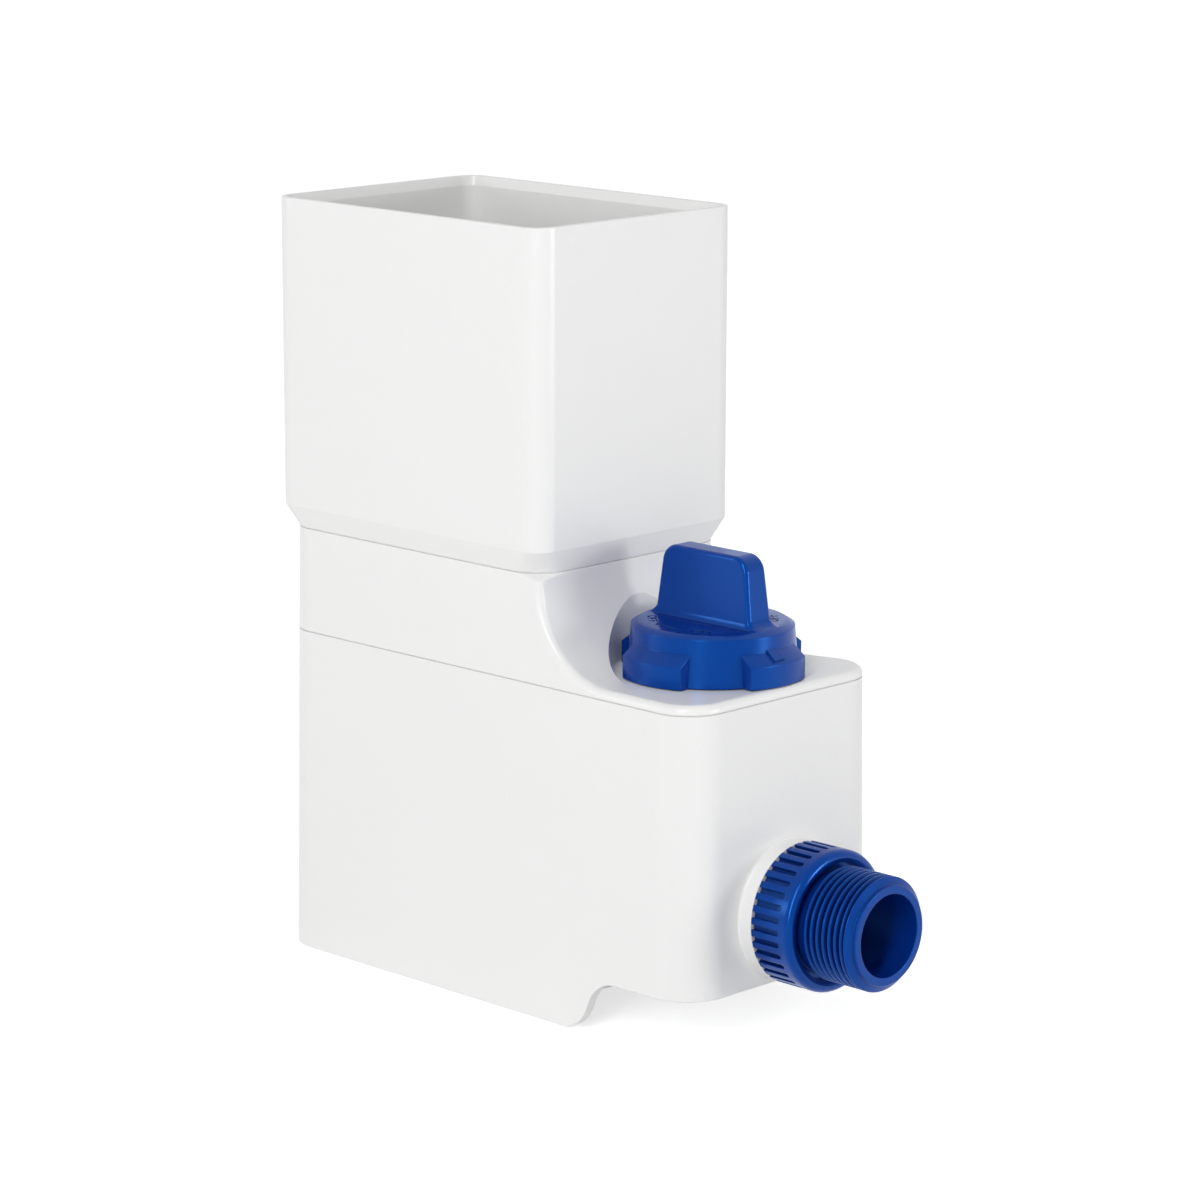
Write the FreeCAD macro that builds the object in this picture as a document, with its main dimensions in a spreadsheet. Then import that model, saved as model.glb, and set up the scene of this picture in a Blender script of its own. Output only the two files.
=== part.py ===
import FreeCAD, Part
import Sketcher
import math
import os

# Rainwater diverter for a rectangular downspout.
# The origin is the middle of the lower downspout opening, on the plane that the part stands on.
# +Z is up the downspout, +X points to the threaded outlet.

# Driving dimensions in millimetres and degrees: alias, value, meaning.
SIZES = [
    ("rim_height", 231.2, "top of the inlet socket above the foot"),
    ("socket_length", 113.0, "outside of the inlet socket along X"),
    ("socket_width", 82.8, "outside of the inlet socket along Y"),
    ("socket_corner", 7.0, "outside corner of the inlet socket"),
    ("socket_wall", 2.5, "wall of the inlet socket"),
    ("socket_foot", 137.9, "height where the inlet socket starts to taper in"),
    ("leadin_depth", 3.0, "depth of the bevel inside the rim"),
    ("leadin_width", 0.9, "width of the bevel inside the rim"),
    ("rim_round", 0.4, "rounding of the rim's outer edge"),
    ("spigot_depth", 14.0, "length of the socket's spigot inside the neck"),
    ("spigot_wall", 3.6, "wall of that spigot"),
    ("spigot_gap", 0.2, "clearance between the spigot and the neck"),
    ("gasket_height", 1.8, "height of the neck gasket"),
    ("gasket_depth", 1.4, "depth of the neck gasket's groove"),
    ("gasket_fit", 0.05, "clearance of a gasket in its groove"),
    ("neck_top", 131.1, "parting plane between inlet socket and cover"),
    ("neck_length", 110.2, "outside of the neck along X"),
    ("neck_width", 79.3, "outside of the neck along Y"),
    ("cover_wall", 2.6, "wall of the cover"),
    ("cover_base", 99.3, "parting plane between cover and body"),
    ("deck_top", 102.3, "height of the deck"),
    ("deck_edge", 2.2, "rounding of the deck's edge"),
    ("ramp_radius", 27.0, "radius of the concave ramp from neck to deck"),
    ("body_corner", 12.2, "outside corner of cover and body at the parting plane"),
    ("front_reach", 115.6, "front face at the parting plane"),
    ("draft", 0.91, "draft of the housing's outer faces in degrees"),
    ("body_wall", 3.0, "wall of the body"),
    ("seam_height", 0.3, "height of the shadow line where two mouldings meet"),
    ("seam_depth", 0.35, "depth of that shadow line"),
    ("front_bottom", 16.6, "underside of the body's front half"),
    ("front_floor", 19.6, "top of the floor in the front half"),
    ("rear_bottom", 23.0, "underside of the floor around the standpipe"),
    ("rear_floor", 26.0, "top of the floor around the standpipe"),
    ("sump_rear", 58.0, "rear end of the deeper tank under the valve"),
    ("cross_wall_front", 73.0, "front face of the wall across the skirt"),
    ("cross_wall", 3.0, "thickness of the wall across the skirt"),
    ("cross_wall_bottom", 10.2, "lower edge of the wall across the skirt"),
    ("foot_front", 66.3, "where the skirt's lower edge starts to curve up"),
    ("foot_curve", 11.0, "radius of both bends in that curve"),
    ("foot_slope", 68.0, "steepest angle of that curve in degrees"),
    ("pipe_length", 99.0, "outside of the collar inside the lower downspout along X"),
    ("pipe_width", 73.0, "outside of that collar along Y"),
    ("pipe_corner", 6.0, "outside corner of that collar"),
    ("pipe_wall", 2.4, "wall of that collar and of the standpipe above it"),
    ("pipe_bottom", 2.5, "lower end of the collar"),
    ("pipe_top", 62.0, "top of the standpipe, where the tray rests"),
    ("ledge_top", 93.6, "top of the ledge for the cover gasket"),
    ("ledge_height", 2.6, "thickness of that ledge"),
    ("ledge_width", 1.6, "reach of that ledge from the wall"),
    ("seal_height", 1.6, "height of the cover gasket"),
    ("lip_gap", 0.3, "clearance between the cover's lip and the body"),
    ("lip_wall", 1.5, "thickness of the cover's lip"),
    ("tray_gap", 0.25, "clearance of the tray inside the ledge"),
    ("tray_front", 66.0, "front end of the tray"),
    ("tray_top", 80.0, "top of the tray's outer wall"),
    ("tray_base", 2.2, "thickness of the tray's base"),
    ("tray_wall", 1.8, "thickness of the tray's walls"),
    ("tray_step", 1.2, "width of the step that carries the strainer"),
    ("tray_lip_top", 74.0, "top of the tray's inner lip"),
    ("drop_length", 78.0, "tray opening along X"),
    ("drop_width", 50.0, "tray opening along Y"),
    ("drop_corner", 5.0, "corner of the tray opening"),
    ("drain_length", 10.0, "drain slot in the tray along X"),
    ("strainer_height", 1.6, "thickness of the strainer"),
    ("strainer_gap", 0.3, "clearance around the strainer"),
    ("slot_width", 2.0, "width of a strainer slot"),
    ("slot_pitch", 4.0, "spacing of the strainer slots"),
    ("slot_margin", 1.6, "solid edge around the strainer slots"),
    ("valve_setback", 29.1, "distance of the knob and valve axis behind the front face"),
    ("recess_radius", 30.0, "recess around the knob"),
    ("stem_radius", 6.5, "radius of the valve stem"),
    ("stem_fit", 0.1, "clearance of the stem in the cover's bush"),
    ("bush_radius", 10.0, "outside radius of the cover's bush"),
    ("bush_bottom", 91.9, "lower end of the bush"),
    ("bush_top", 107.0, "upper end of the bush, under the knob"),
    ("washer_height", 1.5, "thickness of the thrust washer"),
    ("shoulder_radius", 9.0, "radius of the stem's shoulder"),
    ("shoulder_height", 2.4, "thickness of the stem's shoulder"),
    ("ring_section", 0.9, "section radius of the stem's O-rings"),
    ("ring_low", 95.2, "height of the lower O-ring"),
    ("ring_high", 99.2, "height of the upper O-ring"),
    ("square_width", 8.0, "square end of the stem"),
    ("square_top", 114.9, "top of the square end"),
    ("square_fit", 0.1, "clearance of the square in the knob, each side"),
    ("barrel_radius", 22.0, "outside radius of the rotor barrel"),
    ("barrel_wall", 2.2, "wall of the rotor barrel"),
    ("barrel_top", 58.5, "top of the rotor barrel"),
    ("barrel_lid", 2.5, "thickness of the rotor's top disc"),
    ("barrel_fit", 0.3, "clearance between rotor and sleeve"),
    ("sleeve_wall", 1.2, "thickness of the rubber sleeve"),
    ("sleeve_fit", 0.1, "clearance between sleeve and cup"),
    ("end_gap", 0.5, "clearance at the ends of the sleeve and the rotor barrel"),
    ("cup_wall", 1.4, "wall of the valve cup"),
    ("cup_base", 2.0, "base of the valve cup"),
    ("cup_top", 58.0, "top of the valve cup"),
    ("port_radius", 10.9, "radius of the water ports"),
    ("nozzle_wall", 1.9, "wall of the cup's nozzle"),
    ("nozzle_reach", 31.5, "end of the nozzle from the valve axis"),
    ("nozzle_ring", 29.0, "O-ring on the nozzle, from the valve axis"),
    ("nozzle_ring_section", 0.5, "section radius of that O-ring"),
    ("ear_offset", 28.6, "screw axis from the valve axis, along Y"),
    ("ear_half", 4.5, "half width of a screw ear"),
    ("ear_height", 2.5, "thickness of a screw ear"),
    ("boss_top", 24.0, "top of the bosses under the ears"),
    ("boss_radius", 3.4, "radius of the bosses under the ears"),
    ("pilot_radius", 1.7, "pilot hole in a boss"),
    ("pilot_floor", 18.2, "bottom of the pilot hole"),
    ("seat_screw_head", 3.4, "head radius of a seat screw"),
    ("seat_screw_head_height", 2.4, "head height of a seat screw"),
    ("knob_bottom", 102.6, "lower edge of the knob"),
    ("knob_radius", 24.9, "radius of the knob at its lower edge"),
    ("knob_upper_radius", 23.7, "radius under the knob's bevel"),
    ("knob_bevel", 116.5, "lower edge of the knob's bevel"),
    ("knob_disc_radius", 21.5, "radius of the knob's flat top"),
    ("knob_disc", 117.8, "height of the knob's flat top"),
    ("knob_wall", 2.2, "wall of the knob"),
    ("knob_ceiling", 115.0, "ceiling of the knob's hollow"),
    ("hub_radius", 9.0, "radius of the knob's hub"),
    ("hub_gap", 0.3, "gap between the hub and the bush"),
    ("lug_radius", 28.0, "outside radius of the lugs"),
    ("lug_shoulder", 109.0, "top of a lug's upright face"),
    ("lug_top", 112.1, "where a lug's slope meets the knob"),
    ("lug_outer_angle", 24.0, "half angle of a lug at its outside, in degrees"),
    ("lug_inner_angle", 28.2, "half angle of a lug at its root, in degrees"),
    ("lug_count", 4, "number of lugs"),
    ("mark_width", 4.4, "width of the index mark"),
    ("mark_side", 1.2, "end of the index mark on the lug's far side"),
    ("mark_height", 0.35, "height of the index mark"),
    ("mark_margin", 0.9, "distance from the index mark to the slope's lower end"),
    ("blade_top", 138.3, "top of the grip blade"),
    ("blade_top_length", 32.0, "length of the blade at its top"),
    ("blade_base_length", 37.4, "length of the blade at its base"),
    ("blade_top_width", 8.2, "thickness of the blade at its top"),
    ("blade_base_width", 10.0, "thickness of the blade at its base"),
    ("blade_corner", 5.2, "rounding of the blade's top corners"),
    ("blade_edge", 1.3, "rounding of the blade's edges"),
    ("foot_width", 1.6, "spread of the blade's foot along its sides"),
    ("foot_length", 3.9, "spread of the blade's foot at its ends"),
    ("foot_height", 3.6, "height of the concave flank of the blade's foot"),
    ("foot_bury", 0.15, "depth at which the foot's upper end lies inside the blade"),
    ("blade_core_length", 8.0, "length of a hollow inside the blade"),
    ("blade_core_width", 5.0, "width of a hollow inside the blade"),
    ("blade_core_top", 132.0, "top of a hollow inside the blade"),
    ("blade_core_offset", 10.5, "middle of a hollow from the knob axis"),
    ("knob_screw_radius", 1.3, "shank radius of the knob screw"),
    ("knob_screw_head", 2.9, "head radius of the knob screw"),
    ("knob_screw_head_height", 2.4, "head height of the knob screw"),
    ("knob_screw_seat", 101.0, "seat of the knob screw inside the stem"),
    ("knob_screw_top", 127.0, "upper end of the knob screw"),
    ("screw_play", 0.4, "clearance around the knob screw in the stem"),
    ("thread_play", 0.05, "clearance of a screw in its pilot hole"),
    ("screw_end_gap", 0.2, "gap under the tip of a seat screw"),
    ("outlet_height", 37.2, "height of the outlet axis"),
    ("outlet_bore", 12.08, "bore radius of the outlet tail"),
    ("outlet_boss_radius", 20.6, "radius of the boss behind the nut"),
    ("outlet_boss_reach", 5.7, "reach of that boss beyond the front face at the parting plane"),
    ("outlet_boss_flare", 0.6, "fillet radius at the foot of that boss"),
    ("spigot_radius", 18.2, "radius of the body's outlet spigot"),
    ("outlet_spigot_length", 8.2, "length of that spigot in front of the boss"),
    ("spigot_bore", 13.0, "bore radius of that spigot"),
    ("outlet_washer_height", 1.5, "thickness of the outlet washer"),
    ("outlet_washer_radius", 17.8, "outside radius of the outlet washer"),
    ("flange_radius", 18.0, "radius of the tail's flange"),
    ("flange_height", 2.0, "thickness of the tail's flange"),
    ("thread_radius", 16.7, "crest radius of the outlet thread"),
    ("thread_root", 15.2, "root radius of the outlet thread"),
    ("thread_relief", 4.0, "plain length between the tail's flange and its thread"),
    ("thread_length", 15.3, "length of the outlet thread"),
    ("tail_leadin", 2.9, "length of the tail in front of its thread"),
    ("lip_radius", 14.36, "outside radius of the tail's front lip"),
    ("lip_round", 0.6, "bevel of the tail's front lip"),
    ("nut_radius", 20.8, "outside radius of the union nut"),
    ("nut_back_gap", 0.3, "gap between the nut and the boss"),
    ("nut_cover", 3.0, "reach of the union nut in front of the tail's flange"),
    ("nut_rim", 2.2, "rounding of the nut's front rim"),
    ("nut_bore_gap", 0.2, "clearance between nut and spigot"),
    ("nut_hole_gap", 0.5, "clearance between nut and thread"),
    ("nut_dish", 0.7, "depth of the nut's dished front face"),
    ("grip_count", 36, "number of grip slots in the nut"),
    ("grip_width", 1.7, "width of a grip slot"),
    ("grip_depth", 1.3, "depth of a grip slot"),
    ("grip_reach", 10.5, "front end of the grip slots from the boss"),
]


class Size:
    """A number together with the spreadsheet expression that gives it."""

    def __init__(self, value, text):
        self.value = value
        self.text = text

    @staticmethod
    def of(other):
        return other if isinstance(other, Size) else Size(other, repr(other))

    def join(self, sign, other, value):
        return Size(value, "(%s %s %s)" % (self.text, sign, other.text))

    def __add__(self, other):
        other = Size.of(other)
        return self.join("+", other, self.value + other.value)

    def __sub__(self, other):
        other = Size.of(other)
        return self.join("-", other, self.value - other.value)

    def __mul__(self, other):
        other = Size.of(other)
        return self.join("*", other, self.value * other.value)

    def __truediv__(self, other):
        other = Size.of(other)
        return self.join("/", other, self.value / other.value)

    def __neg__(self):
        return Size(-self.value, "(-1 * %s)" % self.text)


def sine(angle):
    return Size(math.sin(math.radians(angle.value)), "sin(%s * 1deg)" % angle.text)


def cosine(angle):
    return Size(math.cos(math.radians(angle.value)), "cos(%s * 1deg)" % angle.text)


def tangent(angle):
    return Size(math.tan(math.radians(angle.value)), "tan(%s * 1deg)" % angle.text)


def root(size):
    return Size(math.sqrt(size.value), "sqrt(%s)" % size.text)


ZERO = Size(0.0, "0")
# Extra reach of a cut past the solid that it opens, for a thin wall and for a wide space.
PAST = 1.0
BEYOND = 5.0
# Reach within which two coordinates count as the same.
SAME = 0.02


def fill_sheet(doc):
    """Write the driving dimensions into a spreadsheet and return them by alias."""
    sheet = doc.addObject("Spreadsheet::Sheet", "Sizes")
    sizes = {}
    for row, (alias, value, meaning) in enumerate(SIZES, start=1):
        sheet.set("A%d" % row, meaning)
        sheet.set("B%d" % row, str(value))
        sheet.setAlias("B%d" % row, alias)
        sizes[alias] = Size(value, "Sizes." + alias)
    return sizes


DOC = FreeCAD.newDocument("rainwater_diverter")
D = fill_sheet(DOC)
DOC.recompute()


def new_body(label):
    body = DOC.addObject("PartDesign::Body", label)
    body.Label = label
    return body


def place(thing, x=ZERO, z=ZERO):
    """Put a sub-part's own origin at a named place of the part's frame."""
    thing.setExpression("Placement.Base.x", x.text)
    thing.setExpression("Placement.Base.z", z.text)


def origin_item(body, role):
    """A plane or an axis of a body's own origin."""
    return [item for item in body.Origin.OriginFeatures if item.Role == role][0]


def new_sketch(body, plane, offset=ZERO):
    sketch = body.newObject("Sketcher::SketchObject", body.Name + "_sketch")
    sketch.AttachmentSupport = [(origin_item(body, plane), "")]
    sketch.MapMode = "FlatFace"
    sketch.setExpression("AttachmentOffset.Base.z", offset.text)
    return sketch


def bind(sketch, constraint, size):
    index = sketch.addConstraint(constraint)
    sketch.setExpression("Constraints[%d]" % index, size.text)


def fix_point(sketch, edge, end, point):
    """Tie one end of an edge to its place in the sketch."""
    for kind, size in (("DistanceX", point[0]), ("DistanceY", point[1])):
        bind(sketch, Sketcher.Constraint(kind, -1, 1, edge, end, size.value), size)


def draw(sketch, path):
    """Close an outline. Each item is a corner (x, y), or (x, y, arc) where an arc leaves that corner.

    arc is (centre x, centre y, turn), and turn is 1 for anticlockwise and -1 for clockwise.
    """
    first = None
    previous = None
    for index, item in enumerate(path):
        here = item[:2]
        there = path[(index + 1) % len(path)][:2]
        if len(item) == 2:
            start = FreeCAD.Vector(here[0].value, here[1].value, 0)
            stop = FreeCAD.Vector(there[0].value, there[1].value, 0)
            edge = sketch.addGeometry(Part.LineSegment(start, stop), False)
            begin, end = 1, 2
        else:
            centre_x, centre_y, turn = item[2]
            radius = math.hypot(here[0].value - centre_x.value, here[1].value - centre_y.value)
            angles = [
                math.atan2(point[1].value - centre_y.value, point[0].value - centre_x.value)
                for point in (here, there)
            ]
            if turn < 0:
                angles.reverse()
            centre = FreeCAD.Vector(centre_x.value, centre_y.value, 0)
            circle = Part.Circle(centre, FreeCAD.Vector(0, 0, 1), radius)
            edge = sketch.addGeometry(Part.ArcOfCircle(circle, *angles), False)
            begin, end = (1, 2) if turn > 0 else (2, 1)
            # With both ends tied, one coordinate of the centre settles the arc.
            steep = abs(there[1].value - here[1].value) > abs(there[0].value - here[0].value)
            kind, size = ("DistanceX", centre_x) if steep else ("DistanceY", centre_y)
            bind(sketch, Sketcher.Constraint(kind, -1, 1, edge, 3, size.value), size)
        fix_point(sketch, edge, begin, here)
        if previous:
            sketch.addConstraint(Sketcher.Constraint("Coincident", previous[0], previous[1], edge, begin))
        else:
            first = (edge, begin)
        previous = (edge, end)
    sketch.addConstraint(Sketcher.Constraint("Coincident", previous[0], previous[1], first[0], first[1]))


def draw_circle(sketch, radius, x=ZERO, y=ZERO):
    circle = Part.Circle(FreeCAD.Vector(x.value, y.value, 0), FreeCAD.Vector(0, 0, 1), radius.value)
    edge = sketch.addGeometry(circle, False)
    fix_point(sketch, edge, 3, (x, y))
    bind(sketch, Sketcher.Constraint("Radius", edge, radius.value), radius)


class Plan:
    """A rounded rectangle seen from above: rear and front ends, half width and corner radius."""

    def __init__(self, rear, front, half, corner):
        self.rear = rear
        self.front = front
        self.half = half
        self.corner = corner

    def inset(self, by):
        return Plan(self.rear + by, self.front - by, self.half - by, self.corner - by)

    def draw(self, sketch):
        rear, front, half, corner = self.rear, self.front, self.half, self.corner
        left, right = rear + corner, front - corner
        low, high = corner - half, half - corner
        draw(sketch, [
            (left, -half),
            (right, -half, (right, low, 1)),
            (front, low),
            (front, high, (right, high, 1)),
            (right, half),
            (left, half, (left, high, 1)),
            (rear, high),
            (rear, low, (left, low, 1)),
        ])


def centred(length, width, corner):
    return Plan(-(length / 2), length / 2, width / 2, corner)


def feature(body, kind, sketch, length=None, reverse=False, symmetric=False, taper=None):
    item = body.newObject("PartDesign::" + kind, body.Name + "_" + kind.lower())
    item.Profile = sketch
    item.Reversed = reverse
    if symmetric:
        item.SideType = "Symmetric"
    if length is None:
        item.Type = "ThroughAll"
    else:
        item.setExpression("Length", length.text)
    if taper is not None:
        item.setExpression("TaperAngle", taper.text)
    return item


def plan_sketch(body, plans, height):
    sketch = new_sketch(body, "XY_Plane", height)
    for plan in plans:
        plan.draw(sketch)
    return sketch


def pad(body, plans, low, high, taper=None):
    return feature(body, "Pad", plan_sketch(body, plans, low), high - low, taper=taper)


def pad_down(body, plans, high, low, taper=None):
    return feature(body, "Pad", plan_sketch(body, plans, high), high - low, reverse=True, taper=taper)


def cut_down(body, plans, high, low, taper=None):
    return feature(body, "Pocket", plan_sketch(body, plans, high), high - low, taper=taper)


def cut_up(body, plans, low, high, taper=None):
    return feature(body, "Pocket", plan_sketch(body, plans, low), high - low, reverse=True, taper=taper)


def loft(body, kind, lower, upper):
    """Join two plans at two heights; each argument is (plan, height)."""
    sketches = [plan_sketch(body, [plan], height) for plan, height in (lower, upper)]
    item = body.newObject("PartDesign::" + kind, body.Name + "_loft")
    item.Profile = sketches[0]
    item.Sections = [sketches[1]]
    item.Ruled = True
    return item


def spin(body, kind, axis, path):
    """Turn an outline in the XZ plane about the sketch's V_Axis (Z) or H_Axis (X)."""
    sketch = new_sketch(body, "XZ_Plane")
    draw(sketch, path)
    item = body.newObject("PartDesign::" + kind, body.Name + "_" + kind.lower())
    item.Profile = sketch
    item.ReferenceAxis = (sketch, [axis])
    item.Angle = 360
    return item


def disc_pad(body, radius, low, high, x=ZERO, y=ZERO):
    sketch = new_sketch(body, "XY_Plane", low)
    draw_circle(sketch, radius, x, y)
    return feature(body, "Pad", sketch, high - low)


def disc_cut(body, radius, high, low, x=ZERO, y=ZERO):
    sketch = new_sketch(body, "XY_Plane", high)
    draw_circle(sketch, radius, x, y)
    return feature(body, "Pocket", sketch, high - low)


def box_plan(x_low, x_high, y_low, y_high):
    return [(x_low, y_low), (x_high, y_low), (x_high, y_high), (x_low, y_high)]


def edge_names(shape, wanted):
    """Names of the edges that a test picks out."""
    return ["Edge%d" % (i + 1) for i, edge in enumerate(shape.Edges) if wanted(edge)]


def near(value, target):
    return abs(value - target) < SAME


def flat_at(edge, height):
    """True for an edge that lies level at a height."""
    return near(edge.BoundBox.ZMin, height.value) and near(edge.BoundBox.ZMax, height.value)


def upright_between(edge, low, high):
    """True for an edge that runs from one height to another."""
    return near(edge.BoundBox.ZMin, low.value) and near(edge.BoundBox.ZMax, high.value)


def dress(body, kind, base, names, size):
    item = body.newObject("PartDesign::" + kind, body.Name + "_" + kind.lower())
    item.Base = (base, names)
    item.setExpression("Radius" if kind == "Fillet" else "Size", size.text)
    return item


# Plans that several pieces share.
grow = (D["neck_top"] - D["cover_base"]) * tangent(D["draft"])
neck = centred(D["neck_length"], D["neck_width"], D["body_corner"] - grow)
neck_inside = neck.inset(D["cover_wall"])
parting = Plan(neck.rear - grow, D["front_reach"], neck.half + grow, D["body_corner"])
tank = parting.inset(D["body_wall"])
ledge_inside = tank.inset(D["ledge_width"])
lip_outside = tank.inset(D["lip_gap"])
lip_inside = lip_outside.inset(D["lip_wall"])
sleeve = centred(D["socket_length"], D["socket_width"], D["socket_corner"])
sleeve_inside = sleeve.inset(D["socket_wall"])
spigot = neck_inside.inset(D["spigot_gap"])
throat = spigot.inset(D["spigot_wall"])
collar = centred(D["pipe_length"], D["pipe_width"], D["pipe_corner"])
collar_inside = collar.inset(D["pipe_wall"])
tray = Plan(ledge_inside.rear + D["tray_gap"], D["tray_front"],
            ledge_inside.half - D["tray_gap"], ledge_inside.corner)
drop = centred(D["drop_length"], D["drop_width"], D["drop_corner"])
tray_lip = drop.inset(-D["tray_wall"])
lip_bottom = D["ledge_top"] + D["seal_height"]
groove_top = D["neck_top"] - D["spigot_depth"] / 2
axis_x = D["front_reach"] - D["valve_setback"]
boss_face = D["front_reach"] + D["outlet_boss_reach"]
spigot_end = boss_face + D["outlet_spigot_length"]
washer_front = spigot_end + D["outlet_washer_height"]
flange_front = washer_front + D["flange_height"]


def make_inlet_socket():
    body = new_body("inlet_socket")
    rim = D["rim_height"]
    box = pad(body, [sleeve], D["socket_foot"], rim)
    DOC.recompute()
    names = edge_names(box.Shape, lambda edge: flat_at(edge, rim))
    dress(body, "Fillet", box, names, D["rim_round"])
    loft(body, "AdditiveLoft", (neck, D["neck_top"] + D["seam_height"]), (sleeve, D["socket_foot"]))
    pad_down(body, [neck.inset(D["seam_depth"])], D["neck_top"] + D["seam_height"], D["neck_top"])
    pad_down(body, [spigot], D["neck_top"], D["neck_top"] - D["spigot_depth"])
    funnel_top = D["socket_foot"] + D["socket_wall"] / 2
    funnel_low = D["neck_top"] + D["socket_wall"] / 2
    cut_down(body, [sleeve_inside], rim, funnel_top)
    loft(body, "SubtractiveLoft", (throat, funnel_low), (sleeve_inside, funnel_top))
    cut_down(body, [throat], funnel_low, D["neck_top"] - D["spigot_depth"] - PAST)
    loft(body, "SubtractiveLoft", (sleeve_inside, rim - D["leadin_depth"]),
         (sleeve_inside.inset(-D["leadin_width"]), rim))
    cut_down(body, [spigot.inset(-D["gasket_depth"]), spigot.inset(D["gasket_depth"])],
             groove_top, groove_top - D["gasket_height"] - D["gasket_fit"] * 2)
    return body


def make_neck_gasket():
    body = new_body("neck_gasket")
    outside = neck_inside.inset(D["gasket_fit"])
    inside = spigot.inset(D["gasket_depth"] - D["gasket_fit"])
    top = groove_top - D["gasket_fit"]
    pad(body, [outside, inside], top - D["gasket_height"], top)
    return body


def ramp_middle():
    """Centre of the ramp's curve and of its underside, in side view."""
    return neck.front + D["ramp_radius"], D["deck_top"] + D["ramp_radius"]


def make_cover():
    block = new_body("cover_block")
    seam_top = D["cover_base"] + D["seam_height"]
    above_seam = parting.inset(D["seam_height"] * tangent(D["draft"]))
    pad(block, [parting.inset(D["seam_depth"])], D["cover_base"], seam_top)
    pad(block, [above_seam], seam_top, D["neck_top"], taper=-D["draft"])
    middle, bend = ramp_middle()
    sketch = new_sketch(block, "XZ_Plane")
    draw(sketch, [
        (neck.front, D["neck_top"] + BEYOND),
        (neck.front, bend, (middle, bend, 1)),
        (middle, D["deck_top"]),
        (D["front_reach"] + BEYOND, D["deck_top"]),
        (D["front_reach"] + BEYOND, D["neck_top"] + BEYOND),
    ])
    feature(block, "Pocket", sketch, symmetric=True)
    DOC.recompute()

    # The neck's corner rounding shrinks along the ramp to the rounding of the deck's edge.
    rounded = DOC.addObject("Part::Fillet", "cover_rounded")
    rounded.Base = block
    rounded.Edges = ramp_roundings(block.Shape)

    # The hollow follows the neck and the ramp, and leaves a wall around the knob recess.
    hollow = new_body("cover_hollow")
    wall = D["cover_wall"]
    middle, bend = ramp_middle()
    radius = D["ramp_radius"] + wall
    foot = middle - root(radius * radius - D["ramp_radius"] * D["ramp_radius"])
    sketch = new_sketch(hollow, "XZ_Plane")
    draw(sketch, [
        (neck_inside.rear, D["deck_top"]),
        (foot, D["deck_top"], (middle, bend, -1)),
        (neck_inside.front, bend),
        (neck_inside.front, D["neck_top"] + BEYOND),
        (neck_inside.rear, D["neck_top"] + BEYOND),
    ])
    base = feature(hollow, "Pad", sketch, neck_inside.half * 2, symmetric=True)
    DOC.recompute()
    names = edge_names(base.Shape, lambda edge: edge.BoundBox.ZLength > SAME
                       and near(abs(edge.CenterOfMass.y), neck_inside.half.value))
    dress(hollow, "Fillet", base, names, neck_inside.corner)
    sketch = new_sketch(hollow, "XY_Plane", D["deck_top"] - BEYOND)
    draw_circle(sketch, D["recess_radius"] + wall, axis_x)
    feature(hollow, "Pocket", sketch, reverse=True)

    shell = DOC.addObject("Part::Cut", "cover_shell")
    shell.Base = rounded
    shell.Tool = hollow
    DOC.recompute()

    body = DOC.addObject("PartDesign::Body", "cover")
    body.Label = "cover"
    body.BaseFeature = shell
    disc_cut(body, D["recess_radius"], D["neck_top"], D["deck_top"], x=axis_x)
    opening = Plan(lip_inside.rear, neck_inside.front, lip_inside.half, lip_inside.corner)
    cut_down(body, [opening], D["deck_top"] + BEYOND, D["cover_base"] - PAST)
    pad_down(body, [lip_outside, lip_inside], D["cover_base"], lip_bottom)
    disc_pad(body, D["bush_radius"], D["bush_bottom"], D["bush_top"], x=axis_x)
    disc_cut(body, D["stem_radius"] + D["stem_fit"], D["bush_top"] + PAST, D["bush_bottom"] - PAST, x=axis_x)
    return body


def ramp_roundings(shape):
    """Edges of the neck's front, the ramp and the deck, with the radius at each end."""
    neck_round, edge_round = neck.corner.value, D["deck_edge"].value
    deck, bend = D["deck_top"], D["deck_top"] + D["ramp_radius"]
    front = neck.front.value
    result = []
    for number, edge in enumerate(shape.Edges, start=1):
        box = edge.BoundBox
        beside = abs(edge.CenterOfMass.y) > neck.half.value / 2
        if flat_at(edge, deck) and box.XMax > front + D["ramp_radius"].value + PAST:
            result.append((number, edge_round, edge_round))
        elif beside and upright_between(edge, bend, D["neck_top"]) and near(box.XMin, front):
            result.append((number, neck_round, neck_round))
        elif beside and upright_between(edge, deck, bend) and near(box.XMin, front):
            radii = (neck_round, edge_round)
            if edge.firstVertex(True).Point.z < edge.lastVertex(True).Point.z:
                radii = (edge_round, neck_round)
            result.append((number,) + radii)
    return result


def make_cover_gasket():
    body = new_body("cover_gasket")
    pad(body, [tank.inset(D["lip_gap"]), ledge_inside], D["ledge_top"], lip_bottom)
    return body


def foot_path():
    """Side view of what is cut away in front of the skirt, under the body's front half."""
    bend = D["foot_curve"]
    slope = D["foot_slope"]
    start = D["foot_front"]
    low_x = start + bend * sine(slope)
    low_z = bend - bend * cosine(slope)
    centre_z = D["front_bottom"] - bend
    high_z = centre_z + bend * cosine(slope)
    high_x = low_x + (high_z - low_z) / tangent(slope)
    end = high_x + bend * sine(slope)
    front = D["front_reach"] + BEYOND * 2
    return [
        (start, Size.of(-BEYOND)),
        (front, Size.of(-BEYOND)),
        (front, D["front_bottom"]),
        (end, D["front_bottom"], (end, centre_z, 1)),
        (high_x, high_z),
        (low_x, low_z, (start, bend, -1)),
        (start, ZERO),
    ]


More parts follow.
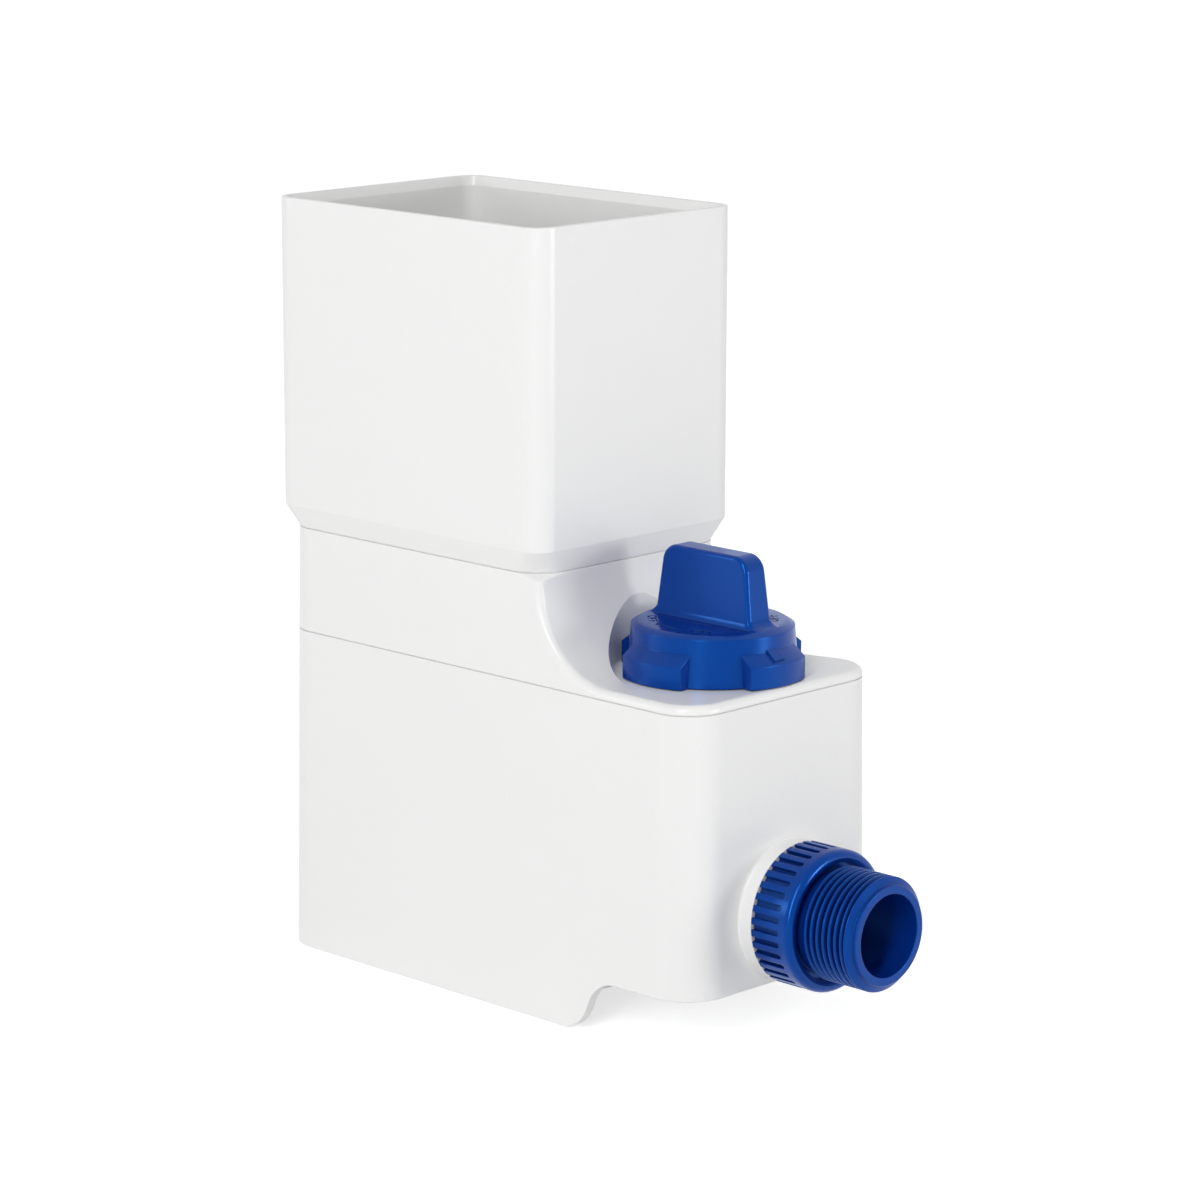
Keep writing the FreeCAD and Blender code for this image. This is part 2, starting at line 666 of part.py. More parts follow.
def make_main_body():
    body = new_body("main_body")
    draft = D["draft"]
    slope = tangent(draft)
    pad_down(body, [parting], D["cover_base"], ZERO, taper=draft)

    # Outlet boss with its flare and the spigot for the union nut, about an axis along X.
    face = D["front_reach"] + (D["cover_base"] - D["outlet_height"]) * slope
    flare = D["outlet_boss_flare"]
    boss = D["outlet_boss_radius"]
    height = D["outlet_height"]
    sketch = new_sketch(body, "XZ_Plane")
    start = face - D["body_wall"] / 2
    draw(sketch, [
        (start, height),
        (start, height + boss + flare),
        (face, height + boss + flare, (face + flare, height + boss + flare, 1)),
        (face + flare, height + boss),
        (boss_face, height + boss),
        (boss_face, height + D["spigot_radius"]),
        (spigot_end, height + D["spigot_radius"]),
        (spigot_end, height),
    ])
    turned = body.newObject("PartDesign::Revolution", "main_body_boss")
    turned.Profile = sketch
    line = sketch.addGeometry(Part.LineSegment(FreeCAD.Vector(start.value, height.value, 0),
                                               FreeCAD.Vector(face.value, height.value, 0)), True)
    fix_point(sketch, line, 1, (start, height))
    fix_point(sketch, line, 2, (face, height))
    turned.ReferenceAxis = (sketch, ["Axis0"])
    turned.Angle = 360

    sketch = new_sketch(body, "XZ_Plane")
    draw(sketch, foot_path())
    feature(body, "Pocket", sketch, symmetric=True)

    # Tank from above, deeper in the front half.
    cut_down(body, [tank], D["cover_base"], D["rear_floor"], taper=draft)
    tank_low = tank.inset(-((D["cover_base"] - D["rear_floor"]) * slope))
    sump = Plan(D["sump_rear"], tank_low.front, tank_low.half, tank_low.corner / 2)
    cut_down(body, [sump], D["rear_floor"], D["front_floor"])

    # Skirt from below, with the wall across it.
    foot = parting.inset(-(D["cover_base"] * slope)).inset(D["body_wall"])
    skirt = Plan(foot.rear, D["foot_front"] + D["foot_curve"] * 3, foot.half, foot.corner)
    cut_up(body, [skirt], ZERO, D["cross_wall_bottom"], taper=-draft)
    above = skirt.inset(D["cross_wall_bottom"] * slope)
    high = Plan(above.rear, D["sump_rear"] - D["body_wall"], above.half, above.corner / 2)
    middle = Plan(above.rear, D["cross_wall_front"] - D["cross_wall"], above.half, above.corner / 2)
    ahead = Plan(D["cross_wall_front"], above.front, above.half, above.corner / 2)
    cut_up(body, [high], D["cross_wall_bottom"], D["rear_bottom"])
    cut_up(body, [middle], D["cross_wall_bottom"], D["front_bottom"])
    cut_up(body, [ahead], D["cross_wall_bottom"], D["front_bottom"])

    # Collar for the lower downspout, and the standpipe above it.
    pad(body, [collar], D["pipe_bottom"], D["pipe_top"])
    cut_down(body, [collar_inside], D["pipe_top"], D["pipe_bottom"] - PAST)

    # Ledge for the cover gasket.
    pad_down(body, [tank.inset(-(D["body_wall"] / 2)), ledge_inside], D["ledge_top"],
             D["ledge_top"] - D["ledge_height"])

    # Bosses and pilot holes for the valve cup.
    for side in (1, -1):
        offset = D["ear_offset"] * side
        disc_pad(body, D["boss_radius"], D["front_floor"] - PAST, D["boss_top"], x=axis_x, y=offset)
        disc_cut(body, D["pilot_radius"], D["boss_top"], D["pilot_floor"], x=axis_x, y=offset)

    # Bore for the valve cup's nozzle.
    sketch = new_sketch(body, "YZ_Plane", spigot_end + PAST)
    draw_circle(sketch, D["spigot_bore"], ZERO, height)
    feature(body, "Pocket", sketch, spigot_end + PAST - tank_low.front + BEYOND)
    return body


def make_collector_tray():
    body = new_body("collector_tray")
    base = D["pipe_top"]
    pad(body, [tray], base, D["tray_top"])
    cut_down(body, [tray.inset(D["tray_wall"])], D["tray_top"], D["tray_lip_top"])
    cut_down(body, [tray.inset(D["tray_wall"] + D["tray_step"]), tray_lip], D["tray_lip_top"],
             base + D["tray_base"])
    cut_down(body, [drop], D["tray_lip_top"], base - PAST)
    sketch = new_sketch(body, "XY_Plane", base + D["tray_base"])
    end = tray.front - D["tray_wall"] - D["tray_step"] - D["slot_margin"]
    draw(sketch, box_plan(end - D["drain_length"], end, -(drop.half), drop.half))
    feature(body, "Pocket", sketch, D["tray_base"] + PAST)
    return body


def slot_row(body, base, x_low, x_high, y_low, y_high, axis, count, step):
    """One slot through the strainer, repeated along a sketch axis."""
    sketch = new_sketch(body, "XY_Plane", base)
    draw(sketch, box_plan(x_low, x_high, y_low, y_high))
    slot = feature(body, "Pocket", sketch, D["strainer_height"] * 2)
    DOC.recompute()
    row = body.newObject("PartDesign::LinearPattern", body.Name + "_row")
    row.Originals = [slot]
    row.Direction = (sketch, [axis])
    row.setExpression("Length", (step * (count - 1)).text)
    row.Occurrences = count
    body.Tip = row
    return row


def make_strainer():
    body = new_body("strainer")
    outside = tray.inset(D["tray_wall"] + D["strainer_gap"])
    low = D["tray_lip_top"]
    top = low + D["strainer_height"]
    pad(body, [outside, drop], low, top)
    above = top + D["strainer_height"] / 2
    width, step, margin = D["slot_width"], D["slot_pitch"], D["slot_margin"]
    inner = tray_lip
    outer = tray.inset(D["tray_wall"] + D["tray_step"])
    side_low, side_high = inner.half + margin, outer.half - margin
    first = inner.rear
    count = int((inner.front.value - inner.rear.value) // step.value)
    for side in (1, -1):
        edges = sorted((side_low * side, side_high * side), key=lambda size: size.value)
        slot_row(body, above, first, first + width, edges[0], edges[1], "H_Axis", count, step)
    cross = int((inner.half.value * 2) // step.value)
    ends = ((outer.rear + margin, inner.rear - margin), (inner.front + margin, outer.front - margin))
    for x_low, x_high in ends:
        slot_row(body, above, x_low, x_high, -(inner.half), -(inner.half) + width, "V_Axis", cross, step)
    return body


# Radii about the valve axis, from the rotor outwards.
sleeve_bore = D["barrel_radius"] + D["barrel_fit"]
cup_bore = sleeve_bore + D["sleeve_wall"] + D["sleeve_fit"]
cup_radius = cup_bore + D["cup_wall"]
cup_floor = D["front_floor"] + D["cup_base"]
nozzle_radius = D["port_radius"] + D["nozzle_wall"]
ring_centre = D["stem_radius"] + D["stem_fit"] - D["gasket_fit"] - D["ring_section"]
ring_root = ring_centre - D["ring_section"] - D["gasket_fit"]
seal_centre = D["spigot_bore"] - D["gasket_fit"] - D["nozzle_ring_section"]
seal_root = seal_centre - D["nozzle_ring_section"] - D["gasket_fit"]


def port_cut(body, radius, low, high):
    """Cut a round water port along X, from low to high, both measured from the valve axis."""
    sketch = new_sketch(body, "YZ_Plane", low)
    draw_circle(sketch, radius, ZERO, D["outlet_height"])
    return feature(body, "Pocket", sketch, high - low, reverse=True)


def make_valve_seat():
    body = new_body("valve_seat")
    base = D["front_floor"]
    spin(body, "Revolution", "V_Axis", [
        (ZERO, base), (cup_radius, base), (cup_radius, D["cup_top"]), (cup_bore, D["cup_top"]),
        (cup_bore, cup_floor), (ZERO, cup_floor),
    ])
    sketch = new_sketch(body, "YZ_Plane", cup_bore - D["cup_wall"] / 2)
    draw_circle(sketch, nozzle_radius, ZERO, D["outlet_height"])
    feature(body, "Pad", sketch, D["nozzle_reach"] - cup_bore + D["cup_wall"] / 2)
    disc_cut(body, cup_bore, D["cup_top"], cup_floor)
    reach = cup_radius + BEYOND
    port_cut(body, D["port_radius"], -reach, D["nozzle_reach"] + PAST)
    for side in (1, -1):
        offset = D["ear_offset"] * side
        inner = (cup_bore + D["cup_wall"] / 2) * side
        ends = sorted((inner, offset + D["ear_half"] * side), key=lambda size: size.value)
        sketch = new_sketch(body, "XY_Plane", D["boss_top"])
        draw(sketch, box_plan(-D["ear_half"], D["ear_half"], ends[0], ends[1]))
        feature(body, "Pad", sketch, D["ear_height"])
        disc_cut(body, D["pilot_radius"] + D["screw_play"], D["boss_top"] + D["ear_height"],
                 D["boss_top"] - PAST, y=offset)
    groove = D["nozzle_ring_section"] + D["gasket_fit"]
    height = D["outlet_height"]
    sketch = new_sketch(body, "YZ_Plane", D["nozzle_ring"] - groove)
    draw_circle(sketch, nozzle_radius + PAST, ZERO, height)
    draw_circle(sketch, seal_root, ZERO, height)
    feature(body, "Pocket", sketch, groove * 2, reverse=True)
    place(body, x=axis_x)
    return body


def make_seat_seal():
    ring = DOC.addObject("Part::Torus", "seat_seal")
    ring.Label = "seat_seal"
    ring.setExpression("Radius1", seal_centre.text)
    ring.setExpression("Radius2", D["nozzle_ring_section"].text)
    ring.Placement = FreeCAD.Placement(FreeCAD.Vector(), FreeCAD.Rotation(FreeCAD.Vector(0, 1, 0), 90))
    place(ring, x=axis_x + D["nozzle_ring"], z=D["outlet_height"])
    return ring


def make_seat_screws():
    single = new_body("seat_screw_left")
    seat = D["boss_top"] + D["ear_height"]
    shank = D["pilot_radius"] - D["thread_play"]
    tip = D["pilot_floor"] + D["screw_end_gap"]
    spin(single, "Revolution", "V_Axis", [
        (ZERO, tip), (shank, tip), (shank, seat), (D["seat_screw_head"], seat),
        (D["seat_screw_head"], seat + D["seat_screw_head_height"]),
        (ZERO, seat + D["seat_screw_head_height"]),
    ])
    place(single, x=axis_x)
    single.setExpression("Placement.Base.y", D["ear_offset"].text)
    mirror = DOC.addObject("Part::Mirroring", "seat_screw_right")
    mirror.Source = single
    mirror.Normal = FreeCAD.Vector(0, 1, 0)
    pair = DOC.addObject("Part::Compound", "seat_screws")
    pair.Label = "seat_screws"
    pair.Links = [single, mirror]
    return pair


def make_valve_sleeve():
    body = new_body("valve_sleeve")
    outer = sleeve_bore + D["sleeve_wall"]
    low = cup_floor + D["end_gap"]
    top = D["cup_top"] - D["end_gap"]
    spin(body, "Revolution", "V_Axis", [(sleeve_bore, low), (outer, low), (outer, top), (sleeve_bore, top)])
    port_cut(body, D["port_radius"], -(outer + BEYOND), outer + BEYOND)
    place(body, x=axis_x)
    return body


def make_valve_rotor():
    body = new_body("valve_rotor")
    outer, inner = D["barrel_radius"], D["barrel_radius"] - D["barrel_wall"]
    low = cup_floor + D["end_gap"]
    ceiling = D["barrel_top"] - D["barrel_lid"]
    stem, shoulder = D["stem_radius"], D["shoulder_radius"]
    shoulder_top = D["bush_bottom"] - D["washer_height"]
    shoulder_low = shoulder_top - D["shoulder_height"]
    groove = D["ring_section"] + D["gasket_fit"]
    hole = D["knob_screw_radius"] + D["screw_play"]
    counterbore = D["knob_screw_head"] + D["screw_play"]
    square_low = D["bush_top"] + D["hub_gap"]
    seat = D["knob_screw_seat"]
    spin(body, "Revolution", "V_Axis", [
        (inner, low), (outer, low), (outer, D["barrel_top"]), (stem, D["barrel_top"]),
        (stem, shoulder_low), (shoulder, shoulder_low), (shoulder, shoulder_top), (stem, shoulder_top),
        (stem, D["ring_low"] - groove), (ring_root, D["ring_low"] - groove),
        (ring_root, D["ring_low"] + groove), (stem, D["ring_low"] + groove),
        (stem, D["ring_high"] - groove), (ring_root, D["ring_high"] - groove),
        (ring_root, D["ring_high"] + groove), (stem, D["ring_high"] + groove),
        (stem, square_low), (hole, square_low), (hole, seat), (counterbore, seat),
        (counterbore, ceiling), (inner, ceiling),
    ])
    half = D["square_width"] / 2
    sketch = new_sketch(body, "XY_Plane", square_low)
    draw(sketch, box_plan(-half, half, -half, half))
    draw_circle(sketch, hole)
    feature(body, "Pad", sketch, D["square_top"] - square_low)
    port_cut(body, D["port_radius"], -(outer + BEYOND), outer + BEYOND)
    place(body, x=axis_x)
    return body


def make_thrust_washer():
    body = new_body("thrust_washer")
    bore = D["stem_radius"] + D["stem_fit"]
    low = D["bush_bottom"] - D["washer_height"]
    spin(body, "Revolution", "V_Axis", [
        (bore, low), (D["shoulder_radius"], low), (D["shoulder_radius"], D["bush_bottom"]),
        (bore, D["bush_bottom"]),
    ])
    place(body, x=axis_x)
    return body


def make_spindle_ring(label, height):
    ring = DOC.addObject("Part::Torus", label)
    ring.Label = label
    ring.setExpression("Radius1", ring_centre.text)
    ring.setExpression("Radius2", D["ring_section"].text)
    place(ring, x=axis_x, z=height)
    return ring


# Turns of the foot's concave flank from level to upright, in degrees, one outline at each.
FOOT_TURNS = (15, 40, 65, 90)


def blade_half(base, top, height):
    """Half the length or thickness of the grip blade at a height."""
    low = D["knob_disc"] - PAST
    return (base - (base - top) * (height - low) / (D["blade_top"] - low)) / 2


def foot_outline(body, turn):
    """Outline of the blade's foot where its flank has turned by an angle."""
    level = cosine(Size.of(FOOT_TURNS[0])) - cosine(turn)
    height = D["knob_disc"] + D["foot_height"] * level
    spread = ZERO + 1 - sine(turn)
    length = blade_half(D["blade_base_length"], D["blade_top_length"], height)
    length = length - D["foot_bury"] + D["foot_length"] * spread
    width = blade_half(D["blade_base_width"], D["blade_top_width"], height)
    width = width - D["foot_bury"] + D["foot_width"] * spread
    plan = centred(length * 2, width * 2, D["blade_edge"] + D["foot_width"] * spread)
    return plan_sketch(body, [plan], height)


def make_knob():
    body = new_body("knob")
    low, wall = D["knob_bottom"], D["knob_wall"]
    hub_low = D["bush_top"] + D["hub_gap"]
    ceiling = D["knob_ceiling"]
    spin(body, "Revolution", "V_Axis", [
        (ZERO, hub_low), (D["hub_radius"], hub_low), (D["hub_radius"], ceiling),
        (D["knob_upper_radius"] - wall, ceiling), (D["knob_radius"] - wall, low), (D["knob_radius"], low),
        (D["knob_upper_radius"], D["knob_bevel"]), (D["knob_upper_radius"], D["knob_disc"]),
        (ZERO, D["knob_disc"]),
    ])

    # One lug, its copies, and the sloped tops cut round them all.
    outer, inner = D["lug_radius"], D["knob_radius"] - wall / 2
    wide, narrow = D["lug_inner_angle"], D["lug_outer_angle"]
    sketch = new_sketch(body, "XY_Plane", low)
    root_x, root_y = inner * cosine(wide), inner * sine(wide)
    edge_x, edge_y = outer * cosine(narrow), outer * sine(narrow)
    draw(sketch, [
        (root_x, -root_y), (edge_x, -edge_y, (ZERO, ZERO, 1)), (edge_x, edge_y), (root_x, root_y),
    ])
    lug = feature(body, "Pad", sketch, D["lug_top"] - low)
    DOC.recompute()
    lugs = body.newObject("PartDesign::PolarPattern", "knob_lugs")
    lugs.Originals = [lug]
    lugs.Axis = (origin_item(body, "Z_Axis"), [""])
    lugs.Angle = 360
    lugs.setExpression("Occurrences", D["lug_count"].text)
    body.Tip = lugs
    root_r = D["knob_radius"] + (D["knob_upper_radius"] - D["knob_radius"]) * (D["lug_top"] - low) / (
        D["knob_bevel"] - low)
    run = (outer - root_r) / (D["lug_top"] - D["lug_shoulder"])
    spin(body, "Groove", "V_Axis", [
        (root_r, D["lug_top"]), (outer + run, D["lug_shoulder"] - PAST),
        (outer + run, D["lug_top"] + PAST), (root_r, D["lug_top"] + PAST),
    ])

    # Index mark on the slope of the front lug, from the wall outwards.
    margin, rise = D["mark_margin"], D["mark_height"]
    low_x, low_z = outer - run * margin, D["lug_shoulder"] + margin
    high_x, high_z = root_r - run * PAST, D["lug_top"] + PAST
    sketch = new_sketch(body, "XZ_Plane", -(D["mark_side"]))
    draw(sketch, [
        (low_x - PAST, low_z - PAST), (low_x + rise, low_z + rise),
        (high_x + rise, high_z + rise), (high_x, high_z - PAST),
    ])
    feature(body, "Pad", sketch, D["mark_width"])

    # Grip blade, rounded at its top corners and along its edges.
    disc, top = D["knob_disc"], D["blade_top"]
    sketches = []
    for length, width, height in (
            (D["blade_base_length"], D["blade_base_width"], disc - PAST),
            (D["blade_top_length"], D["blade_top_width"], top)):
        sketch = new_sketch(body, "XY_Plane", height)
        draw(sketch, box_plan(-(length / 2), length / 2, -(width / 2), width / 2))
        sketches.append(sketch)
    blade = body.newObject("PartDesign::AdditiveLoft", "knob_blade")
    blade.Profile = sketches[0]
    blade.Sections = [sketches[1]]
    blade.Ruled = True
    DOC.recompute()
    names = edge_names(blade.Shape, lambda edge: flat_at(edge, top) and near(edge.BoundBox.XLength, 0))
    corners = dress(body, "Fillet", blade, names, D["blade_corner"])
    DOC.recompute()
    names = edge_names(corners.Shape, lambda edge: edge.BoundBox.ZMin > disc.value - SAME
                       and edge.BoundBox.ZMax > disc.value + PAST
                       and edge.BoundBox.YLength < D["blade_edge"].value)
    dress(body, "Fillet", corners, names, D["blade_edge"])

    # Concave foot around the blade, and the bevel that cuts both the foot's ends and the rim.
    outlines = [foot_outline(body, Size.of(turn)) for turn in FOOT_TURNS]
    foot = body.newObject("PartDesign::AdditiveLoft", "knob_foot")
    foot.Profile = outlines[0]
    foot.Sections = outlines[1:]
    foot.Ruled = False
    rim, edge_radius = D["knob_disc_radius"], D["knob_upper_radius"]
    fall = (disc - D["knob_bevel"]) / (edge_radius - rim)
    spin(body, "Groove", "V_Axis", [
        (rim - PAST, disc + fall * PAST), (edge_radius + PAST, D["knob_bevel"] - fall * PAST),
        (edge_radius + PAST, disc + BEYOND), (rim - PAST, disc + BEYOND),
    ])

    # Hollows under the blade, the square for the stem and the pilot hole for its screw.
    length, width = D["blade_core_length"] / 2, D["blade_core_width"] / 2
    for side in (1, -1):
        middle = D["blade_core_offset"] * side
        sketch = new_sketch(body, "XY_Plane", ceiling - PAST)
        draw(sketch, box_plan(middle - length, middle + length, -width, width))
        feature(body, "Pocket", sketch, D["blade_core_top"] - ceiling + PAST, reverse=True)
    half_square = D["square_width"] / 2 + D["square_fit"]
    sketch = new_sketch(body, "XY_Plane", hub_low - PAST)
    draw(sketch, box_plan(-half_square, half_square, -half_square, half_square))
    feature(body, "Pocket", sketch, D["square_top"] + D["hub_gap"] - hub_low + PAST, reverse=True)
    sketch = new_sketch(body, "XY_Plane", hub_low - PAST)
    draw_circle(sketch, D["knob_screw_radius"] + D["thread_play"])
    feature(body, "Pocket", sketch, D["knob_screw_top"] + PAST - hub_low + PAST, reverse=True)
    place(body, x=axis_x)
    return body


def make_knob_screw():
    body = new_body("knob_screw")
    seat = D["knob_screw_seat"]
    low = seat - D["knob_screw_head_height"]
    head, shank = D["knob_screw_head"], D["knob_screw_radius"]
    spin(body, "Revolution", "V_Axis", [
        (ZERO, low), (head, low), (head, seat), (shank, seat), (shank, D["knob_screw_top"]),
        (ZERO, D["knob_screw_top"]),
    ])
    place(body, x=axis_x)
    return body


def make_outlet_washer():
    body = new_body("outlet_washer")
    spin(body, "Revolution", "H_Axis", [
        (spigot_end, D["spigot_bore"]), (spigot_end, D["outlet_washer_radius"]),
        (washer_front, D["outlet_washer_radius"]), (washer_front, D["spigot_bore"]),
    ])
    place(body, z=D["outlet_height"])
    return body


def make_outlet_tail():
    body = new_body("outlet_tail")
    crest, trough = D["thread_radius"], D["thread_root"]
    bevel = crest - trough
    thread_start = flange_front + D["thread_relief"]
    thread_end = thread_start + D["thread_length"]
    step = thread_end + bevel
    end, bore = thread_end + D["tail_leadin"], D["outlet_bore"]
    spin(body, "Revolution", "H_Axis", [
        (washer_front, bore), (washer_front, D["flange_radius"]), (flange_front, D["flange_radius"]),
        (flange_front, trough), (thread_start, trough), (thread_start, crest),
        (thread_end, crest), (step, trough), (end - D["lip_round"], trough),
        (end, D["lip_radius"]), (end, bore),
    ])
    place(body, z=D["outlet_height"])
    return body


def make_union_nut():
    body = new_body("union_nut")
    back, front = boss_face + D["nut_back_gap"], flange_front + D["nut_cover"]
    outer, rim = D["nut_radius"], D["nut_rim"]
    bore = D["spigot_radius"] + D["nut_bore_gap"]
    hole = D["thread_radius"] + D["nut_hole_gap"]
    spin(body, "Revolution", "H_Axis", [
        (back, bore), (back, outer), (front - rim, outer, (front - rim, outer - rim, -1)),
        (front, outer - rim), (front - D["nut_dish"], hole), (flange_front, hole), (flange_front, bore),
    ])
    half = D["grip_width"] / 2
    end = boss_face + D["grip_reach"] - half
    sketch = new_sketch(body, "XY_Plane", outer + PAST)
    draw(sketch, [
        (back - PAST, -half), (end, -half, (end, ZERO, 1)), (end, half), (back - PAST, half),
    ])
    slot = feature(body, "Pocket", sketch, D["grip_depth"] + PAST)
    DOC.recompute()
    grips = body.newObject("PartDesign::PolarPattern", "union_nut_grips")
    grips.Originals = [slot]
    grips.Axis = (origin_item(body, "X_Axis"), [""])
    grips.Angle = 360
    grips.setExpression("Occurrences", D["grip_count"].text)
    body.Tip = grips
    place(body, z=D["outlet_height"])
    return body


def check(parts):
    """Stop if an object failed or a sub-part has no sound shape."""
    for item in DOC.Objects:
        if "Invalid" in item.State or "Error" in item.State:
            raise RuntimeError("%s failed: %s" % (item.Name, item.State))
    for part in parts:
        if part.Shape.isNull() or not part.Shape.isValid() or not part.Shape.Solids:
            raise RuntimeError("%s has no sound shape" % part.Label)


def main():
    parts = [
        make_inlet_socket(),
        make_neck_gasket(),
        make_cover(),
        make_cover_gasket(),
        make_main_body(),
        make_collector_tray(),
        make_strainer(),
        make_valve_seat(),
        make_seat_seal(),
        make_seat_screws(),
        make_valve_sleeve(),
        make_valve_rotor(),
        make_thrust_washer(),
        make_spindle_ring("spindle_ring_lower", D["ring_low"]),
        make_spindle_ring("spindle_ring_upper", D["ring_high"]),
        make_knob(),
        make_knob_screw(),
        make_outlet_washer(),
        make_outlet_tail(),
        make_union_nut(),
    ]
    DOC.recompute()
    check(parts)
    os.makedirs("parts", exist_ok=True)
    for part in parts:
        part.Shape.exportStep("parts/%s.step" % part.Label)
        box = part.Shape.BoundBox
        print("%-20s solids %d volume %9.1f  x %7.2f %7.2f  y %7.2f %7.2f  z %7.2f %7.2f" % (
            part.Label, len(part.Shape.Solids), part.Shape.Volume, box.XMin, box.XMax,
            box.YMin, box.YMax, box.ZMin, box.ZMax))


main()
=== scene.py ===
import math

import bmesh
import bpy
from bpy.props import (
    FloatProperty, FloatVectorProperty, IntProperty, PointerProperty, StringProperty,
)
from mathutils import Matrix, Vector


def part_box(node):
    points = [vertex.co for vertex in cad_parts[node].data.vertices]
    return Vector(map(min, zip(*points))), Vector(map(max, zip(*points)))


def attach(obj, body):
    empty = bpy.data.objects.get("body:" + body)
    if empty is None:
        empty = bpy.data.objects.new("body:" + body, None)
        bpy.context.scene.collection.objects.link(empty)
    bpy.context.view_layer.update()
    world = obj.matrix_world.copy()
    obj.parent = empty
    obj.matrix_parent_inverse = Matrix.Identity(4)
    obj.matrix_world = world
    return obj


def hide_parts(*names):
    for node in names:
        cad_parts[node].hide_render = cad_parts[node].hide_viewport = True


bl_info = {
    "name": "Rainwater diverter",
    "version": (1, 0, 0),
    "blender": (4, 5, 0),
    "location": "View3D > Sidebar > Diverter",
    "description": "Thread, knob legend, finishes and stage of a downspout diverter",
    "category": "Object",
}

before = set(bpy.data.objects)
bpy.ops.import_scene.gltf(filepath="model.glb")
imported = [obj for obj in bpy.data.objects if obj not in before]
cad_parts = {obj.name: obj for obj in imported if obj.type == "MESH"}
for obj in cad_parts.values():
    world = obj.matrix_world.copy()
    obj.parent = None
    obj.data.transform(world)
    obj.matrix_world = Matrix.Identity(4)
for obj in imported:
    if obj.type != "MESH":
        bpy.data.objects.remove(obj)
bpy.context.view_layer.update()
MM = 0.001

HOUSING_NODES = ("inlet_socket", "cover", "main_body")
INNER_NODES = ("collector_tray", "strainer", "valve_seat", "valve_rotor", "thrust_washer")
RUBBER_NODES = (
    "neck_gasket", "cover_gasket", "seat_seal", "valve_sleeve", "spindle_ring_lower",
    "spindle_ring_upper", "outlet_washer",
)
SCREW_NODES = ("seat_screws", "knob_screw")

KNOB_LOW, KNOB_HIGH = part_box("knob")
TAIL_LOW, TAIL_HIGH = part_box("outlet_tail")
KNOB_CENTRE = (KNOB_LOW + KNOB_HIGH) / 2
OUTLET_CENTRE = (TAIL_LOW + TAIL_HIGH) / 2
OUTLET_AXIS = Vector((1, 0, 0))

# Distances in metres under which vertices are one: in a new piece, and in a letter or a copy
# of a CAD node.
MERGE_NEW = 1e-7
MERGE_COPY = 1e-6

# Section of the thread's ridge from its rear foot over the crest to its front foot, as shares
# of half the pitch along X and of the thread's depth above the root.
RIDGE_SECTION = (
    (-0.95, -0.1), (-0.62, 0.55), (-0.45, 0.85), (-0.2, 1.0),
    (0.12, 1.0), (0.36, 0.86), (0.58, 0.55), (0.95, -0.1),
)

LAST_FLANK = 0.7 * MM            # slope up to the last crest, along X
LIP_BREAK = 0.15 * MM            # edge break round the lip
BORE_BREAK = 0.1 * MM            # edge break round the mouth of the bore
RING_BEVEL = 0.06 * MM           # bevel on every sharp ring edge
RING_SHARP = math.radians(30)    # angle from which a ring edge is sharp

LETTER_SWELL = 0.02              # swelling of a letter's strokes, as a share of its size
LETTER_CURVE_STEPS = 3
OFF_GAP = math.radians(20)       # from the middle of OFF to the arrow's point
ON_GAP = math.radians(16)        # from the arrow's end to the middle of ON
ARROW_HEIGHT = 0.36              # arrow above the letters' foot, as a share of their size
ARROW_HALF_WIDTH = 0.34 * MM
ARROW_STEPS = 14
HEAD_SHARE = 0.2                 # share of the arrow's angle that its head takes
HEAD_RADIUS = 1.3 * MM

# Angles between faces above which an edge stays sharp, and how strongly large faces stay flat.
TAIL_SHARP = math.radians(40)
KNOB_SHARP = math.radians(32)
FLAT_FACE_WEIGHT = 90

# Moulded plastic: cells of its mottling, waves and grain to the metre, what mottling and grain
# add to the roughness, and how deep the waves are for a grain of 1.
MOTTLE_SCALE, WAVE_SCALE, GRAIN_SCALE = 22.0, 90.0, 2600.0
MOTTLE_GLOSS, GRAIN_GLOSS = 0.06, 0.12
WAVE_DEPTH = 3

# Painted shade: the blue's colour in grooves and corners is darkened to this share.
PAINTED_SHADE_TONE = 0.2                # colour left in the grooves of the blue plastic
BLOOM_TONE = 2.2                 # paler bloom on rubber, over its base colour
TOOL_MARKS = (60, 60, 4200)      # tool marks to the metre on a turned screw

WHITE = (1.0, 1.0, 1.0)
BLACK = (0.0, 0.0, 0.0)

# Lamps: width and height, then place, all turned to the lit point.
LIT_POINT = Vector((0.03, 0.0, 0.11))
SIDE_BOX = (0.3, 0.4), (-0.95, -1.05, 0.45)
FRONT_BOX = (0.3, 0.3), (1.25, 0.6, 0.24)
STRIP = (0.14, 1.5), (0.72, -1.4, 0.95)

FLOOR_HALF_WIDTH = 6.0
SENSOR_WIDTH = 36.0              # in millimetres, as Blender has it


# Sizes and colours that a user would change.

def length(name, description, millimetres):
    """Length that is written in millimetres and kept in metres."""
    return FloatProperty(
        name=name, description=description, default=millimetres * MM, min=0.0,
        subtype="DISTANCE", unit="LENGTH", precision=5,
    )


def angle(name, description, degrees):
    """Angle that is written in degrees and kept in radians."""
    return FloatProperty(
        name=name, description=description, default=math.radians(degrees),
        subtype="ANGLE", unit="ROTATION",
    )


def power(name, description, watts):
    """Power of a lamp."""
    return FloatProperty(name=name, description=description, default=watts, unit="POWER")


def colour(name, description, default):
    """Linear red, green and blue."""
    return FloatVectorProperty(
        name=name, description=description, default=default, size=3, min=0.0, max=1.0,
        subtype="COLOR",
    )


